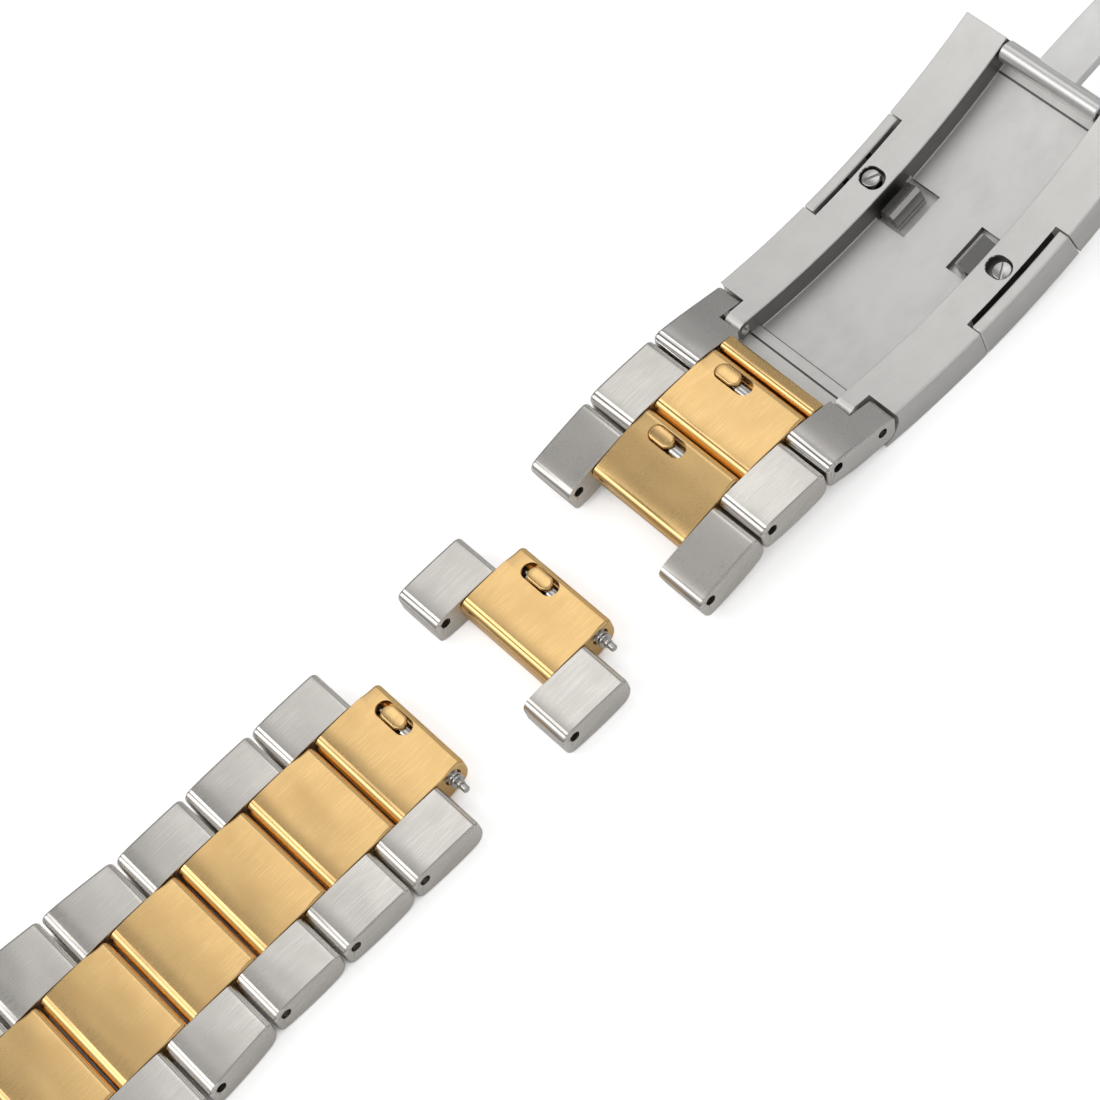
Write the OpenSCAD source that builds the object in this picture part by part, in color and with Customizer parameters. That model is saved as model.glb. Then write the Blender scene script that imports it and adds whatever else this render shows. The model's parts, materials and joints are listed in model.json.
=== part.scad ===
// Metal watch bracelet with a folding clasp, laid out inner face up in three groups.
// Millimetres. +X runs along the bracelet toward the clasp, +Y across it, +Z up.
// A link is drawn in its own frame: x from its lower hinge hole, z from the hole axis.

/* [Links] */

// Width over the steel side pieces
bracelet_w = 20; // [19:0.5:22]
// Width of the gold centre piece
centre_w = 10.4; // [9.6:0.1:11]
// Distance from one hinge axis to the next
pitch = 7.1; // [7:0.05:7.4]
// Height of the inner face over the hinge axis
top_h = 0.9; // [0.85:0.05:1.1]
// Depth of the outer face under the hinge axis
bottom_h = 1.85; // [1.7:0.05:2.1]
// Reach of a side piece below its hinge hole
side_back = 1.1; // [1:0.05:1.15]
// Length of a side piece
side_len = 6.88; // [6.8:0.02:6.9]
// Distance from the hinge hole to the near end of the centre piece
centre_back = 1.62; // [1.55:0.01:1.7]
// Reach of the centre piece past the far hinge axis
nose = 1.4; // [1.3:0.02:1.42]
// Radius of the curve under the far end of the centre piece
nose_r = 1.15; // [1:0.05:1.2]
// Radius of the polished ridge along the near edge of each piece
ridge_r = 0.75; // [0.5:0.05:0.8]
// Radius of the curve along the outer face
arch_r = 27; // [20:1:40]
// Radius of the hinge hole in a side piece
hole_r = 0.45; // [0.44:0.01:0.5]
// Distance from the side face to the end of a pin
pin_recess = 1.1; // [0.8:0.1:2]
// Number of plain links in the long run
plain_links = 5; // [5:1:5]
// Widening of each side from the fourth link of the run to the watch
flare = 2; // [1:0.25:2.5]

/* [Quick release] */

// Radius of the spring bar barrel
barrel_r = 0.7; // [0.6:0.02:0.72]
// Radius of the spring bar tips
tip_r = 0.4; // [0.36:0.01:0.42]
// Length of the slot for the lever
slot_l = 3.8; // [3.75:0.05:3.9]
// Width of the slot for the lever
slot_w = 1.5; // [1.45:0.05:1.6]
// Length of the lever knob
knob_l = 2.4; // [2.3:0.05:2.4]
// Width of the lever knob
knob_w = 1.3; // [1.2:0.05:1.35]
// Travel of the lever when its tip is in a hole
lever_travel = 1.2; // [1:0.05:1.25]
// Shift of a spring bar that is in no hole
bar_shift = 0.6; // [0.4:0.05:0.7]

/* [Clasp] */

// Radius of the rail tops of the clasp cover
rail_r = 62; // [60:1:70]
// Height of the rails from their tops to the outer face
rail_h = 3.1; // [3:0.1:3.4]
// Depth of the clasp floor under the rail tops
floor_depth = 2; // [1.9:0.05:2.1]
// Width of the clasp cover
clasp_w = 19.84; // [19.6:0.04:19.9]
// Distance between the rails
channel_w = 10.88; // [10.8:0.02:11]
// Width of the gap at the inner side of a push button
button_gap = 0.45; // [0.43:0.01:0.5]
// Travel of a push button
button_travel = 0.4; // [0.35:0.01:0.42]
// Width of a push button from its gap to its face
button_w = 1; // [0.9:0.01:1.1]

/* [Blades] */

// Thickness of the folding blades
blade_t = 0.85; // [0.7:0.05:0.9]
// Width of the inner blade
blade_w = 4; // [3.6:0.1:4.2]
// Angle that closes the blades
blade_close = 190.4; // [188:0.2:192]
// Radius of the blade knuckles
knuckle_r = 0.8; // [0.75:0.05:0.85]
// Radius of the cross tube at the clasp cover
tube_r = 0.95; // [0.85:0.05:1]
// Radius of the blade pins
blade_pin_r = 0.38; // [0.35:0.01:0.39]

/* [Clearances] */

// Gap between a centre piece and the side pieces beside it
side_gap = 0.05; // [0.03:0.01:0.08]
// Radial clearance of a hinge pin in its hole
run_gap = 0.025; // [0.02:0.005:0.05]
// Radial clearance of a pin held in its piece
hold_gap = 0.01; // [0.01:0.005:0.015]
// Gap between moving faces of the clasp
free_gap = 0.15; // [0.12:0.01:0.2]

/* [Part] */

// Piece to build

/* [Hidden] */

round_fn = 48;
corner_n = 6;
arch_n = 8;
eps = 0.02;
half_w = bracelet_w / 2;
half_c = centre_w / 2;
far_r = 0.5;
side_y = half_c + side_gap;
side_end = side_len - side_back;
pin_r = hole_r - run_gap;
pin_end = half_w - pin_recess;
fixed_x = [3, 4.8];
fixed_z = -0.4;
bore_r = barrel_r + 0.05;

// Spring bar, measured across the link from its middle
slot_x = 0.2;
slot_y = 1.75;
knob_y = slot_y + (slot_l - knob_l) / 2 - 0.05;
knob_top = top_h + 0.15;
knob_under = barrel_r + 0.04;
stem_y = [knob_y + 0.1, knob_y + 1.2];
stem_neck = [stem_y[1] - stem_y[0] - 0.1, 0.9];
barrel_far = stem_y[0] - lever_travel - 0.1;
tip_out = [0.7, 1.1];
lug_out = [0.9, 0.9];
flange_r = 0.62;
flange_t = 0.16;
neck_r = 0.22;
sleeve_r = 0.58;
barrel_wall = 0.18;
piston_y = -0.9;
spring_wall = 0.12;

// Clasp cover, in a frame whose origin is the axis of its curve
clasp_r = rail_r + rail_h;
floor_r = rail_r + floor_depth;
lip_r = floor_r - 0.3;
arc_x = 41.1;
arc_z = clasp_r;
hinge_at = -7.1;
hinge_deep = 0.947;
hinge = on_arc(rail_r + hinge_deep, hinge_at);
foot_w = 1.66;
foot_y = [channel_w / 2, channel_w / 2 + foot_w];
ear_y = foot_y[1] + 0.3;
ear_out = 1.45;
ear_reach = 1.6;
foot_r = 0.85;
foot_space = [4, rail_h + 3.9];
rail_far_at = 21.773;
tube_at = 21;
tube_deep = 0.73;
tube = on_arc(rail_r + tube_deep, tube_at);
button_at = 7.7;
button_span = 9.4;
button_out = clasp_w / 2;
button_in = button_out - button_w;
pocket_y = button_in - button_gap;
slide_w = 3.2;
slide_r = [floor_r + 0.05, floor_r + 0.5];
window_at = [5.92, 9.806];
window_y = channel_w / 2 - 3.09;
window_deep = 0.6;
hook_y = [window_y + 1.05, window_y + 1.95];
hook_nose = hook_y[1] + 0.62;
hook_deep = 0.78;
hook_t = 0.24;
hook_r = [rail_r + hook_deep, rail_r + hook_deep + hook_t];
screw_r = 0.8;
screw_land = 0.37;
screw_y = pocket_y - screw_land - screw_r;
screw_deep = 0.45;
button_spring_r = 0.55;
button_spring_x = 4.3;
button_spring_y = pocket_y - 1.7;
button_spring_depth = rail_r + 1.5;

// Blades, drawn folded into the clasp cover
blade_mid = rail_r + 0.95;
blade_far_at = -5;
outer_blade_y = [blade_w / 2 + 0.3, channel_w / 2 - 0.34];
outer_end_at = 17.9;
outer_end_r = blade_mid - blade_t / 2 - free_gap - knuckle_r;
ledge_y = [outer_blade_y[1] - 0.35, outer_blade_y[1]];
blade_pin_y = channel_w / 2 + 1.56;
bar_short = 0.05;

// Places of the links: x and z of the lower hinge hole, and the tilt of the link
end_tilt = -11.5;
top_tilts = [-0.8, 9.9];
end_hole = 4.68;
flat_z = bottom_h;
loose_x = 0;
run_x = -15.57;
end_link = back_from([hinge[0], hinge[1]], end_hole, end_tilt);
link_2 = back_from(end_link, pitch, top_tilts[0]);
link_1 = back_from(link_2, pitch, top_tilts[1]);
lug_link = [run_x - (plain_links + 1) * pitch, flat_z, 0];

// Lug end link
lug_x = 1.1;
lug_z = -0.3;
lug_back = 0.65;
lug_half = half_w + flare;

// The origin is under the middle of the whole layout
mid_x = (lug_link[0] - lug_back + blade_tip_x()) / 2;

steel = [0.66, 0.65, 0.62];
gold = [0.83, 0.66, 0.36];
bright = [0.78, 0.78, 0.77];

// The link whose point at x = reach lies on a joint, given the joint and the link's tilt
function back_from(joint, reach, tilt) =
    [joint[0] - reach * cos(tilt), joint[1] - reach * sin(tilt), tilt];

// The x of the open outer blade's far end
function blade_tip_x() =
    let (
        far = turned(on_arc(blade_mid, blade_far_at)),
        step = on_arc(outer_end_r, outer_end_at) - on_arc(blade_mid, blade_far_at)
    )
    far[0] + step[0] + knuckle_r;

// A point at radius r and angle a on the clasp's curve
function on_arc(r, a) = [arc_x + r * sin(a), arc_z - r * cos(a)];

// A point carried from the closed place to the open one, about the blade tube
function turned(p) =
    let (d = p - tube)
    tube + [
        d[0] * cos(blade_close) + d[1] * sin(blade_close),
        -d[0] * sin(blade_close) + d[1] * cos(blade_close)
    ];

function unit(v) = v / norm(v);

// Points of a corner at p, rounded with radius r, between points a and b
function corner(a, p, b, r) =
    let (
        u = unit(a - p),
        v = unit(b - p),
        half = acos(u * v) / 2,
        c = p + unit(u + v) * r / sin(half),
        s = p + u * r / tan(half) - c,
        e = p + v * r / tan(half) - c,
        from = atan2(s[1], s[0]),
        turn = (atan2(e[1], e[0]) - from + 540) % 360 - 180
    )
    [for (i = [0 : corner_n]) c + r * [
        cos(from + turn * i / corner_n),
        sin(from + turn * i / corner_n)
    ]];

// An outline from points of x, z and corner radius
function rounded(q) =
    let (n = len(q))
    [for (i = [0 : n - 1])
        let (
            a = q[(i + n - 1) % n],
            p = q[i],
            b = q[(i + 1) % n]
        )
        each p[2] == 0
            ? [[p[0], p[1]]]
            : corner([a[0], a[1]], [p[0], p[1]], [b[0], b[1]], p[2])];

// Height of the curved outer face at x, for a piece that runs from a to b
function arch(x, a, b) =
    -bottom_h + arch_r - sqrt(pow(arch_r, 2) - pow(x - (a + b) / 2, 2));

// Side view of a link piece from x = a to x = b, with its four corner radii
function link_outline(a, b, top_near, top_far, bottom_near, bottom_far) =
    rounded(concat(
        [[a, arch(a, a, b), bottom_near], [a, top_h, top_near]],
        [[b, top_h, top_far], [b, arch(b, a, b), bottom_far]],
        [for (i = [1 : arch_n - 1])
            let (
                from = b - bottom_far,
                to = a + bottom_near,
                x = from + (to - from) * i / arch_n
            )
            [x, arch(x, a, b), 0]]
    ));

// Moves a piece from its link's frame to the layout
module at_link(place) {
    translate([place[0] - mid_x, 0, place[1]])
        rotate([0, -place[2], 0])
            children();
}

// Moves a piece from the work frame of the clasp to the layout
module at_clasp() {
    translate([-mid_x, 0, 0])
        children();
}

// Draws an outline of x and z from y = a to y = b
module slab(a, b) {
    translate([0, b, 0])
        rotate([90, 0, 0])
            linear_extrude(b - a)
                children();
}

// A rod along y
module rod(x, z, r, a, b) {
    translate([x, b, z])
        rotate([90, 0, 0])
            cylinder(r = r, h = b - a, $fn = round_fn);
}

// Draws its children at the left and mirrored at the right
module both() {
    children();
    mirror([0, 1, 0])
        children();
}

// A ring section about the clasp's curve, between two radii, two angles and two y
module ring(r, a, y) {
    translate([arc_x, 0, arc_z])
        rotate([90, 0, 0])
            rotate([0, 0, a[0] - 90])
                rotate_extrude(angle = a[1] - a[0], $fn = round_fn * 8)
                    translate([r[0], -y[1]])
                        square([r[1] - r[0], y[1] - y[0]]);
}

// Frame of the clasp's curve, turned to the angle a
module at_arc(a) {
    translate([arc_x, 0, arc_z])
        rotate([0, -a, 0])
            children();
}

// A block along y with rounded ends, on a link
module oval(x, y, l, w, z) {
    translate([x, y, z[0]])
        linear_extrude(z[1] - z[0])
            union() {
                square([w, l - w], center = true);
                for (s = [-1, 1])
                    translate([0, s * (l - w) / 2])
                        circle(d = w, $fn = round_fn);
            }
}

// Links
module centre_blank() {
    slab(-half_c, half_c)
        polygon(link_outline(centre_back, pitch + nose, ridge_r, far_r, 0.5, nose_r));
}

module fixed_holes(a, b, list) {
    for (x = list)
        rod(x, fixed_z, hole_r + hold_gap, a, b);
}

module plain_centre(place) {
    color(gold)
        at_link(place)
            difference() {
                centre_blank();
                rod(pitch, 0, pin_r + hold_gap, -half_c - eps, half_c + eps);
                fixed_holes(-half_c - eps, half_c + eps, fixed_x);
            }
}

module quick_centre(place) {
    color(gold)
        at_link(place)
            difference() {
                centre_blank();
                rod(pitch, 0, bore_r, -half_c - eps, half_c + eps);
                oval(pitch + slot_x, slot_y, slot_l, slot_w, [0, top_h + eps]);
                fixed_holes(-half_c - eps, half_c + eps, fixed_x);
            }
}

// How far the side pieces stand out at the lower hinge axis of run link i
function flare_at(i) = flare * [0, 0, 0, 0.35, 0.7, 1][i - 1];

// Space between the inner side and the outer side, which may stand out at either hinge axis
module side_space(out) {
    slope = (out[1] - out[0]) / pitch;
    low = half_w + out[0] - slope * side_back;
    translate([0, 0, -bottom_h - eps])
        linear_extrude(bottom_h + top_h + 2 * eps)
            polygon([
                [-side_back - eps, side_y],
                [side_end + eps, side_y],
                [side_end + eps, low + slope * (side_len + eps)],
                [-side_back - eps, low - slope * eps]
            ]);
}

module link_sides(place, out = [0, 0]) {
    color(steel)
        at_link(place)
            both()
                difference() {
                    intersection() {
                        slab(side_y - eps, half_w + flare + 1)
                            polygon(link_outline(-side_back, side_end, ridge_r, 0.55, 0.55, 1.2));
                        side_space(out);
                    }
                    rod(0, 0, hole_r, side_y - eps, half_w + flare + 1);
                    fixed_holes(side_y - eps, pin_end, fixed_x);
                }
}

module fixed_pins(place, list) {
    color(bright)
        at_link(place)
            for (x = list)
                rod(x, fixed_z, hole_r, -pin_end + hold_gap, pin_end - hold_gap);
}

module plain_pins(place) {
    fixed_pins(place, fixed_x);
    color(bright)
        at_link(place)
            rod(pitch, 0, pin_r, -pin_end, pin_end);
}

// Spring bar: a barrel with one fixed tip, for a hole whose walls are at y = half
module spring_bar(x, z, half, shift, out) {
    far = -half - out[1];
    neck = -half + 0.18;
    translate([0, -shift, 0]) {
        difference() {
            rod(x, z, barrel_r, -half + 0.8, barrel_far);
            rod(x, z, barrel_r - barrel_wall, -half + 1.2, barrel_far + eps);
        }
        rod(x, z, tip_r, far, neck - flange_t + 0.03);
        rod(x, z, neck_r, neck - flange_t, -half + 0.9);
        for (i = [0, 1])
            rod(x, z, flange_r, neck + (2 * i - 1) * flange_t - 0.05, neck + 2 * i * flange_t - 0.05);
    }
}

// The sliding tip of a spring bar, with its stem and knob
module bar_lever(x, z, half, shift, out) {
    inner_r = barrel_r - barrel_wall;
    translate([0, -shift, 0]) {
        rod(x, z, tip_r, half - 0.12, half + out[0]);
        rod(x, z, tip_r, piston_y, stem_y[0] + 0.1);
        rod(x, z, sleeve_r, stem_y[1] - 0.1, half - 0.12);
        rod(x, z, inner_r - run_gap, piston_y, piston_y + 0.4);
        rod(x, z, flange_r, half - 0.22, half - 0.02);
        rod(x, z, barrel_r - 0.02, stem_y[0], stem_y[1]);
        translate([slot_x, 0, 0]) {
            oval(x, (stem_y[0] + stem_y[1]) / 2, stem_neck[0], stem_neck[1], [z, knob_under + eps]);
            oval(x, knob_y, knob_l, knob_w, [knob_under, knob_top]);
        }
    }
}

module bar_spring(x, z, half, shift) {
    inner_r = barrel_r - barrel_wall - run_gap;
    translate([0, -shift, 0])
        difference() {
            rod(x, z, inner_r, -half + 1.2, piston_y);
            rod(x, z, inner_r - spring_wall, -half + 1.2 - eps, piston_y + eps);
        }
}

module quick_bar(place, shift) {
    color(bright)
        at_link(place)
            spring_bar(pitch, 0, half_c, shift, tip_out);
}

module quick_lever(place, shift) {
    color(gold)
        at_link(place)
            bar_lever(pitch, 0, half_c, shift, tip_out);
}

module quick_spring(place, shift) {
    color(bright)
        at_link(place)
            bar_spring(pitch, 0, half_c, shift);
}

function run_link(i) = [run_x - (i - 1) * pitch, flat_z, 0];

// Link that ends the run at the watch
module lug_outline(b, top_far, bottom_far) {
    polygon(link_outline(-lug_back, b, 1, top_far, 1.2, bottom_far));
}

module lug_link_centre() {
    color(gold)
        at_link(lug_link)
            difference() {
                slab(-half_c, half_c)
                    lug_outline(pitch + nose, far_r, nose_r);
                rod(pitch, 0, pin_r + hold_gap, -half_c - eps, half_c + eps);
                rod(lug_x, lug_z, bore_r, -half_c - eps, half_c + eps);
                oval(lug_x + slot_x, slot_y, slot_l, slot_w, [lug_z, top_h + eps]);
                fixed_holes(-half_c - eps, half_c + eps, fixed_x);
            }
}

module lug_link_sides() {
    color(steel)
        at_link(lug_link)
            both()
                difference() {
                    slab(side_y, lug_half)
                        lug_outline(side_end, 0.55, 1.2);
                    rod(lug_x, lug_z, bore_r, side_y - eps, lug_half + eps);
                    fixed_holes(side_y - eps, pin_end, fixed_x);
                }
}

module lug_link_pins() {
    plain_pins(lug_link);
}

module lug_bar() {
    color(bright)
        at_link(lug_link)
            spring_bar(lug_x, lug_z, lug_half, 0, lug_out);
}

module lug_bar_lever() {
    color(gold)
        at_link(lug_link)
            bar_lever(lug_x, lug_z, lug_half, 0, lug_out);
}

module lug_bar_spring() {
    color(bright)
        at_link(lug_link)
            bar_spring(lug_x, lug_z, lug_half, 0);
}

// Link that joins the bracelet to the clasp
strip_x = [1.6, 3.1];
strip_pin = 2.35;
notch_x = end_hole - foot_r - free_gap;

module ear_shape() {
    polygon(rounded([
        [-side_back, -bottom_h + 0.2, 0.55],
        [-side_back, top_h, ridge_r],
        [end_hole + ear_out, top_h, 0.4],
        [end_hole + ear_out, -ear_out, 1],
        [end_hole / 2 - 0.5, -bottom_h, 0]
    ]));
}

module end_link_sides() {
    color(steel)
        at_link(end_link)
            both()
                difference() {
                    slab(side_y, half_w)
                        ear_shape();
                    translate([notch_x, side_y - eps, -bottom_h - eps])
                        cube([end_hole + ear_out, ear_y - side_y + eps, bottom_h + top_h + 2 * eps]);
                    rod(0, 0, hole_r, side_y - eps, half_w + eps);
                    rod(end_hole, 0, pin_r + hold_gap, ear_y - eps, half_w + eps);
                    rod(strip_pin, fixed_z, hole_r + hold_gap, side_y - eps, pin_end);
                }
}

module end_link_strip() {
    color(gold)
        at_link(end_link)
            difference() {
                slab(-half_c, half_c)
                    polygon(rounded([
                        [strip_x[0], -bottom_h, 0.3],
                        [strip_x[0], top_h + 0.1, 0.6],
                        [strip_x[1], top_h + 0.1, 0.3],
                        [strip_x[1], -bottom_h, 0.3]
                    ]));
                rod(strip_pin, fixed_z, hole_r + hold_gap, -half_c - eps, half_c + eps);
            }
}

module end_link_pin() {
    fixed_pins(end_link, [strip_pin]);
}

module clasp_hinge_pins() {
    color(bright)
        at_link(end_link)
            both()
                rod(end_hole, 0, pin_r, foot_y[0] + 0.1, half_w - pin_recess);
}

// Clasp cover
lip_at = [-7.94, -5.858];

// The channel with its rails, before anything is cut from it
module channel() {
    edge = 0.15;
    w = clasp_w / 2;
    c = channel_w / 2;
    translate([arc_x, 0, arc_z])
        rotate([90, 0, 0])
            rotate([0, 0, hinge_at - 1.9 - 90])
                rotate_extrude(angle = rail_far_at - hinge_at + 1.9, $fn = round_fn * 8)
                    polygon([
                        [rail_r, -c - edge], [rail_r, -w + edge], [rail_r + edge, -w],
                        [clasp_r - edge, -w], [clasp_r, -w + edge],
                        [clasp_r, w - edge], [clasp_r - edge, w],
                        [rail_r + edge, w], [rail_r, w - edge], [rail_r, c + edge],
                        [rail_r + edge, c], [floor_r, c], [floor_r, -c], [rail_r + edge, -c]
                    ]);
}

module near_side() {
    translate([hinge[0] - foot_space[0], -1])
        square(foot_space);
}

// What the channel loses around the clasp hinge, at the left
module foot_cuts() {
    slab(foot_y[0] - 0.1, half_w + 1)
        difference() {
            near_side();
            translate(hinge)
                circle(r = foot_r, $fn = round_fn);
        }
    slab(foot_y[1], half_w + 1)
        union() {
            near_side();
            translate(hinge)
                circle(r = ear_reach + free_gap, $fn = round_fn);
        }
}

module button_pocket() {
    ring(
        [rail_r - 1, clasp_r + 1],
        [button_at - button_span / 2 - 0.1, button_at + button_span / 2 + 0.1],
        [pocket_y, button_out + 1]
    );
    at_arc(button_at) {
        slide_path(0.05, hook_y[0] - button_travel - 0.1, pocket_y + eps);
        screw_path();
        for (s = [-1, 1])
            rod(
                s * button_spring_x, -button_spring_depth, button_spring_r + 0.1,
                button_spring_y, pocket_y + eps
            );
    }
}

// The passage that a button's slider runs in
module slide_path(gap, from, to) {
    translate([-slide_w / 2 - gap, from, -slide_r[1] - gap])
        cube([slide_w + 2 * gap, to - from, slide_r[1] - slide_r[0] + 2 * gap]);
}

module screw_path() {
    translate([0, screw_y, -rail_r - screw_deep - 0.25])
        linear_extrude(2) {
            circle(r = screw_r + 0.1, $fn = round_fn);
            translate([-screw_r - 0.1, -button_travel - 0.1])
                square([2 * screw_r + 0.2, button_travel + 0.1]);
            translate([0, -button_travel - 0.1])
                circle(r = screw_r + 0.1, $fn = round_fn);
        }
    translate([0, screw_y, -slide_r[0] - eps])
        linear_extrude(slide_r[0] - rail_r + eps) {
            circle(r = 0.5, $fn = round_fn);
            translate([0, -button_travel - 0.1])
                circle(r = 0.5, $fn = round_fn);
            translate([-0.5, -button_travel - 0.1])
                square([1, button_travel + 0.1]);
        }
}

module window() {
    ring([floor_r - 0.5, floor_r + window_deep], window_at, [window_y, channel_w / 2 + eps]);
}

module clasp_cover() {
    color(steel)
        at_clasp()
            difference() {
                union() {
                    channel();
                    ring(
                        [lip_r, floor_r + 0.4],
                        [lip_at[0] - 0.3, lip_at[1]],
                        [-foot_y[0] - 0.1, foot_y[0] + 0.1]
                    );
                }
                ring(
                    [floor_r - 1, clasp_r + 1],
                    [hinge_at - 3, lip_at[0]],
                    [-foot_y[0] + 0.04, foot_y[0] - 0.04]
                );
                both() {
                    foot_cuts();
                    button_pocket();
                    window();
                    rod(hinge[0], hinge[1], hole_r, foot_y[0] - eps, foot_y[1] + eps);
                }
                rod(
                    tube[0], tube[1], blade_pin_r + hold_gap,
                    -blade_pin_y - 0.2, blade_pin_y + 0.2
                );
            }
}

// Push button with its slider and hook, at the left
module push_button() {
    at_clasp() {
        ring(
            [rail_r, clasp_r],
            [button_at - button_span / 2, button_at + button_span / 2],
            [button_in, button_out]
        );
        at_arc(button_at) {
            difference() {
                slide_path(0, hook_y[0], button_in + eps);
                translate([0, screw_y, -slide_r[1] - 1])
                    cylinder(r = 0.4 + hold_gap, h = 2, $fn = round_fn);
            }
            translate([-slide_w / 2, hook_y[0], -slide_r[1]])
                cube([slide_w, hook_y[1] - hook_y[0], slide_r[1] - hook_r[0]]);
            rotate([90, 0, 90])
                translate([0, 0, -slide_w / 2])
                    linear_extrude(slide_w)
                        polygon([
                            [hook_y[0] + 0.3, -hook_r[0] + 0.3],
                            [hook_y[0], -hook_r[0]],
                            [hook_y[0], -hook_r[1]],
                            [hook_nose, -hook_r[1]],
                            [hook_nose, -hook_r[1] + 0.06]
                        ]);
        }
    }
}

module left_button() {
    color(steel)
        push_button();
}

module right_button() {
    color(steel)
        mirror([0, 1, 0])
            push_button();
}

module button_screw() {
    color(bright)
        at_clasp()
            at_arc(button_at)
                difference() {
                    union() {
                        translate([0, screw_y, -rail_r - screw_deep - 0.2])
                            cylinder(r = screw_r, h = screw_deep, $fn = round_fn);
                        translate([0, screw_y, -slide_r[1]])
                            cylinder(r = 0.4, h = slide_r[1] - rail_r - 0.3, $fn = round_fn);
                    }
                    translate([0, screw_y, -rail_r - 0.2])
                        rotate([0, 0, -30])
                            cube([3, 0.25, 0.4], center = true);
                }
}

module left_button_screw() {
    button_screw();
}

module right_button_screw() {
    mirror([0, 1, 0])
        button_screw();
}

module button_spring() {
    color(bright)
        at_clasp()
            at_arc(button_at)
                for (s = [-1, 1])
                    difference() {
                        button_rod(s, button_spring_r, 0);
                        button_rod(s, button_spring_r - spring_wall, eps);
                    }
}

module button_rod(s, r, over) {
    rod(s * button_spring_x, -button_spring_depth, r, button_spring_y - over, button_in + over);
}

module left_button_spring() {
    button_spring();
}

module right_button_spring() {
    mirror([0, 1, 0])
        button_spring();
}

// Carries a piece drawn closed to its open place at rest
module opened() {
    at_clasp()
        translate([tube[0], 0, tube[1]])
            rotate([0, blade_close, 0])
                translate([-tube[0], 0, -tube[1]])
                    children();
}

far_hinge = on_arc(blade_mid, blade_far_at);

module inner_blade() {
    color(bright)
        opened()
            difference() {
                union() {
                    rod(tube[0], tube[1], tube_r, -half_c, half_c);
                    ring(
                        [blade_mid - blade_t / 2, blade_mid + blade_t / 2],
                        [blade_far_at, tube_at],
                        [-blade_w / 2, blade_w / 2]
                    );
                    rod(far_hinge[0], far_hinge[1], knuckle_r, -blade_w / 2, blade_w / 2);
                }
                rod(tube[0], tube[1], blade_pin_r + run_gap, -half_c - eps, half_c + eps);
                rod(far_hinge[0], far_hinge[1], blade_pin_r + hold_gap, -half_c, half_c);
            }
}

module blade_pin() {
    color(bright)
        at_clasp()
            rod(tube[0], tube[1], blade_pin_r, -blade_pin_y, blade_pin_y);
}

module outer_blade_pin() {
    color(bright)
        opened()
            rod(far_hinge[0], far_hinge[1], blade_pin_r, -outer_blade_y[1], outer_blade_y[1]);
}

// The outer blade keeps its closed direction and moves with the far hinge
module outer_blade() {
    end = on_arc(outer_end_r, outer_end_at);
    open = turned(far_hinge);
    color(bright)
        at_clasp()
            translate([open[0] - far_hinge[0], 0, open[1] - far_hinge[1]])
                difference() {
                    union() {
                        both() {
                            ring(
                                [blade_mid - blade_t / 2, blade_mid + blade_t / 2],
                                [blade_far_at, outer_end_at],
                                outer_blade_y
                            );
                            rod(
                                far_hinge[0], far_hinge[1], knuckle_r,
                                outer_blade_y[0] + bar_short, outer_blade_y[1] - bar_short
                            );
                            ring(
                                [outer_end_r, blade_mid],
                                [outer_end_at - 0.65, outer_end_at + 0.65],
                                outer_blade_y
                            );
                        }
                        rod(
                            end[0], end[1], knuckle_r,
                            -outer_blade_y[1] + bar_short, outer_blade_y[1] - bar_short
                        );
                    }
                    both() {
                        ring(
                            [blade_mid - 1, blade_mid + 1],
                            [window_at[0] - 0.3, window_at[1] + 0.3],
                            [hook_y[0] - button_travel - 0.2, ledge_y[0]]
                        );
                        ring(
                            [blade_mid - 1, hook_r[1] + 0.1],
                            [window_at[0] - 0.3, window_at[1] + 0.3],
                            [hook_y[0], ledge_y[1] + eps]
                        );
                        rod(
                            far_hinge[0], far_hinge[1], blade_pin_r + run_gap,
                            outer_blade_y[0] - eps, outer_blade_y[1] + eps
                        );
                    }
                    rod(
                        end[0], end[1], blade_pin_r + run_gap,
                        -outer_blade_y[1] - eps, outer_blade_y[1] + eps
                    );
                }
}

clasp_cover();
blade_pin();
inner_blade();
outer_blade_pin();
outer_blade();
left_button();
left_button_screw();
left_button_spring();
right_button();
right_button_screw();
right_button_spring();
end_link_sides();
end_link_strip();
end_link_pin();
clasp_hinge_pins();
quick_centre(link_2);  // link_2_centre
link_sides(link_2);  // link_2_sides
fixed_pins(link_2, fixed_x);  // link_2_pins
quick_bar(link_2, 0);  // link_2_bar
quick_lever(link_2, 0);  // link_2_lever
quick_spring(link_2, 0);  // link_2_spring
quick_centre(link_1);  // link_1_centre
link_sides(link_1);  // link_1_sides
fixed_pins(link_1, fixed_x);  // link_1_pins
quick_bar(link_1, 0);  // link_1_bar
quick_lever(link_1, 0);  // link_1_lever
quick_spring(link_1, 0);  // link_1_spring
quick_centre([loose_x, flat_z, 0]);  // loose_link_centre
link_sides([loose_x, flat_z, 0]);  // loose_link_sides
fixed_pins([loose_x, flat_z, 0], fixed_x);  // loose_link_pins
quick_bar([loose_x, flat_z, 0], bar_shift);  // loose_link_bar
quick_lever([loose_x, flat_z, 0], bar_shift);  // loose_link_lever
quick_spring([loose_x, flat_z, 0], bar_shift);  // loose_link_spring
quick_centre(run_link(1));  // run_link_1_centre
link_sides(run_link(1));  // run_link_1_sides
fixed_pins(run_link(1), fixed_x);  // run_link_1_pins
quick_bar(run_link(1), bar_shift);  // run_link_1_bar
quick_lever(run_link(1), bar_shift);  // run_link_1_lever
quick_spring(run_link(1), bar_shift);  // run_link_1_spring
plain_centre(run_link(2));  // run_link_2_centre
link_sides(run_link(2));  // run_link_2_sides
plain_pins(run_link(2));  // run_link_2_pins
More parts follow.
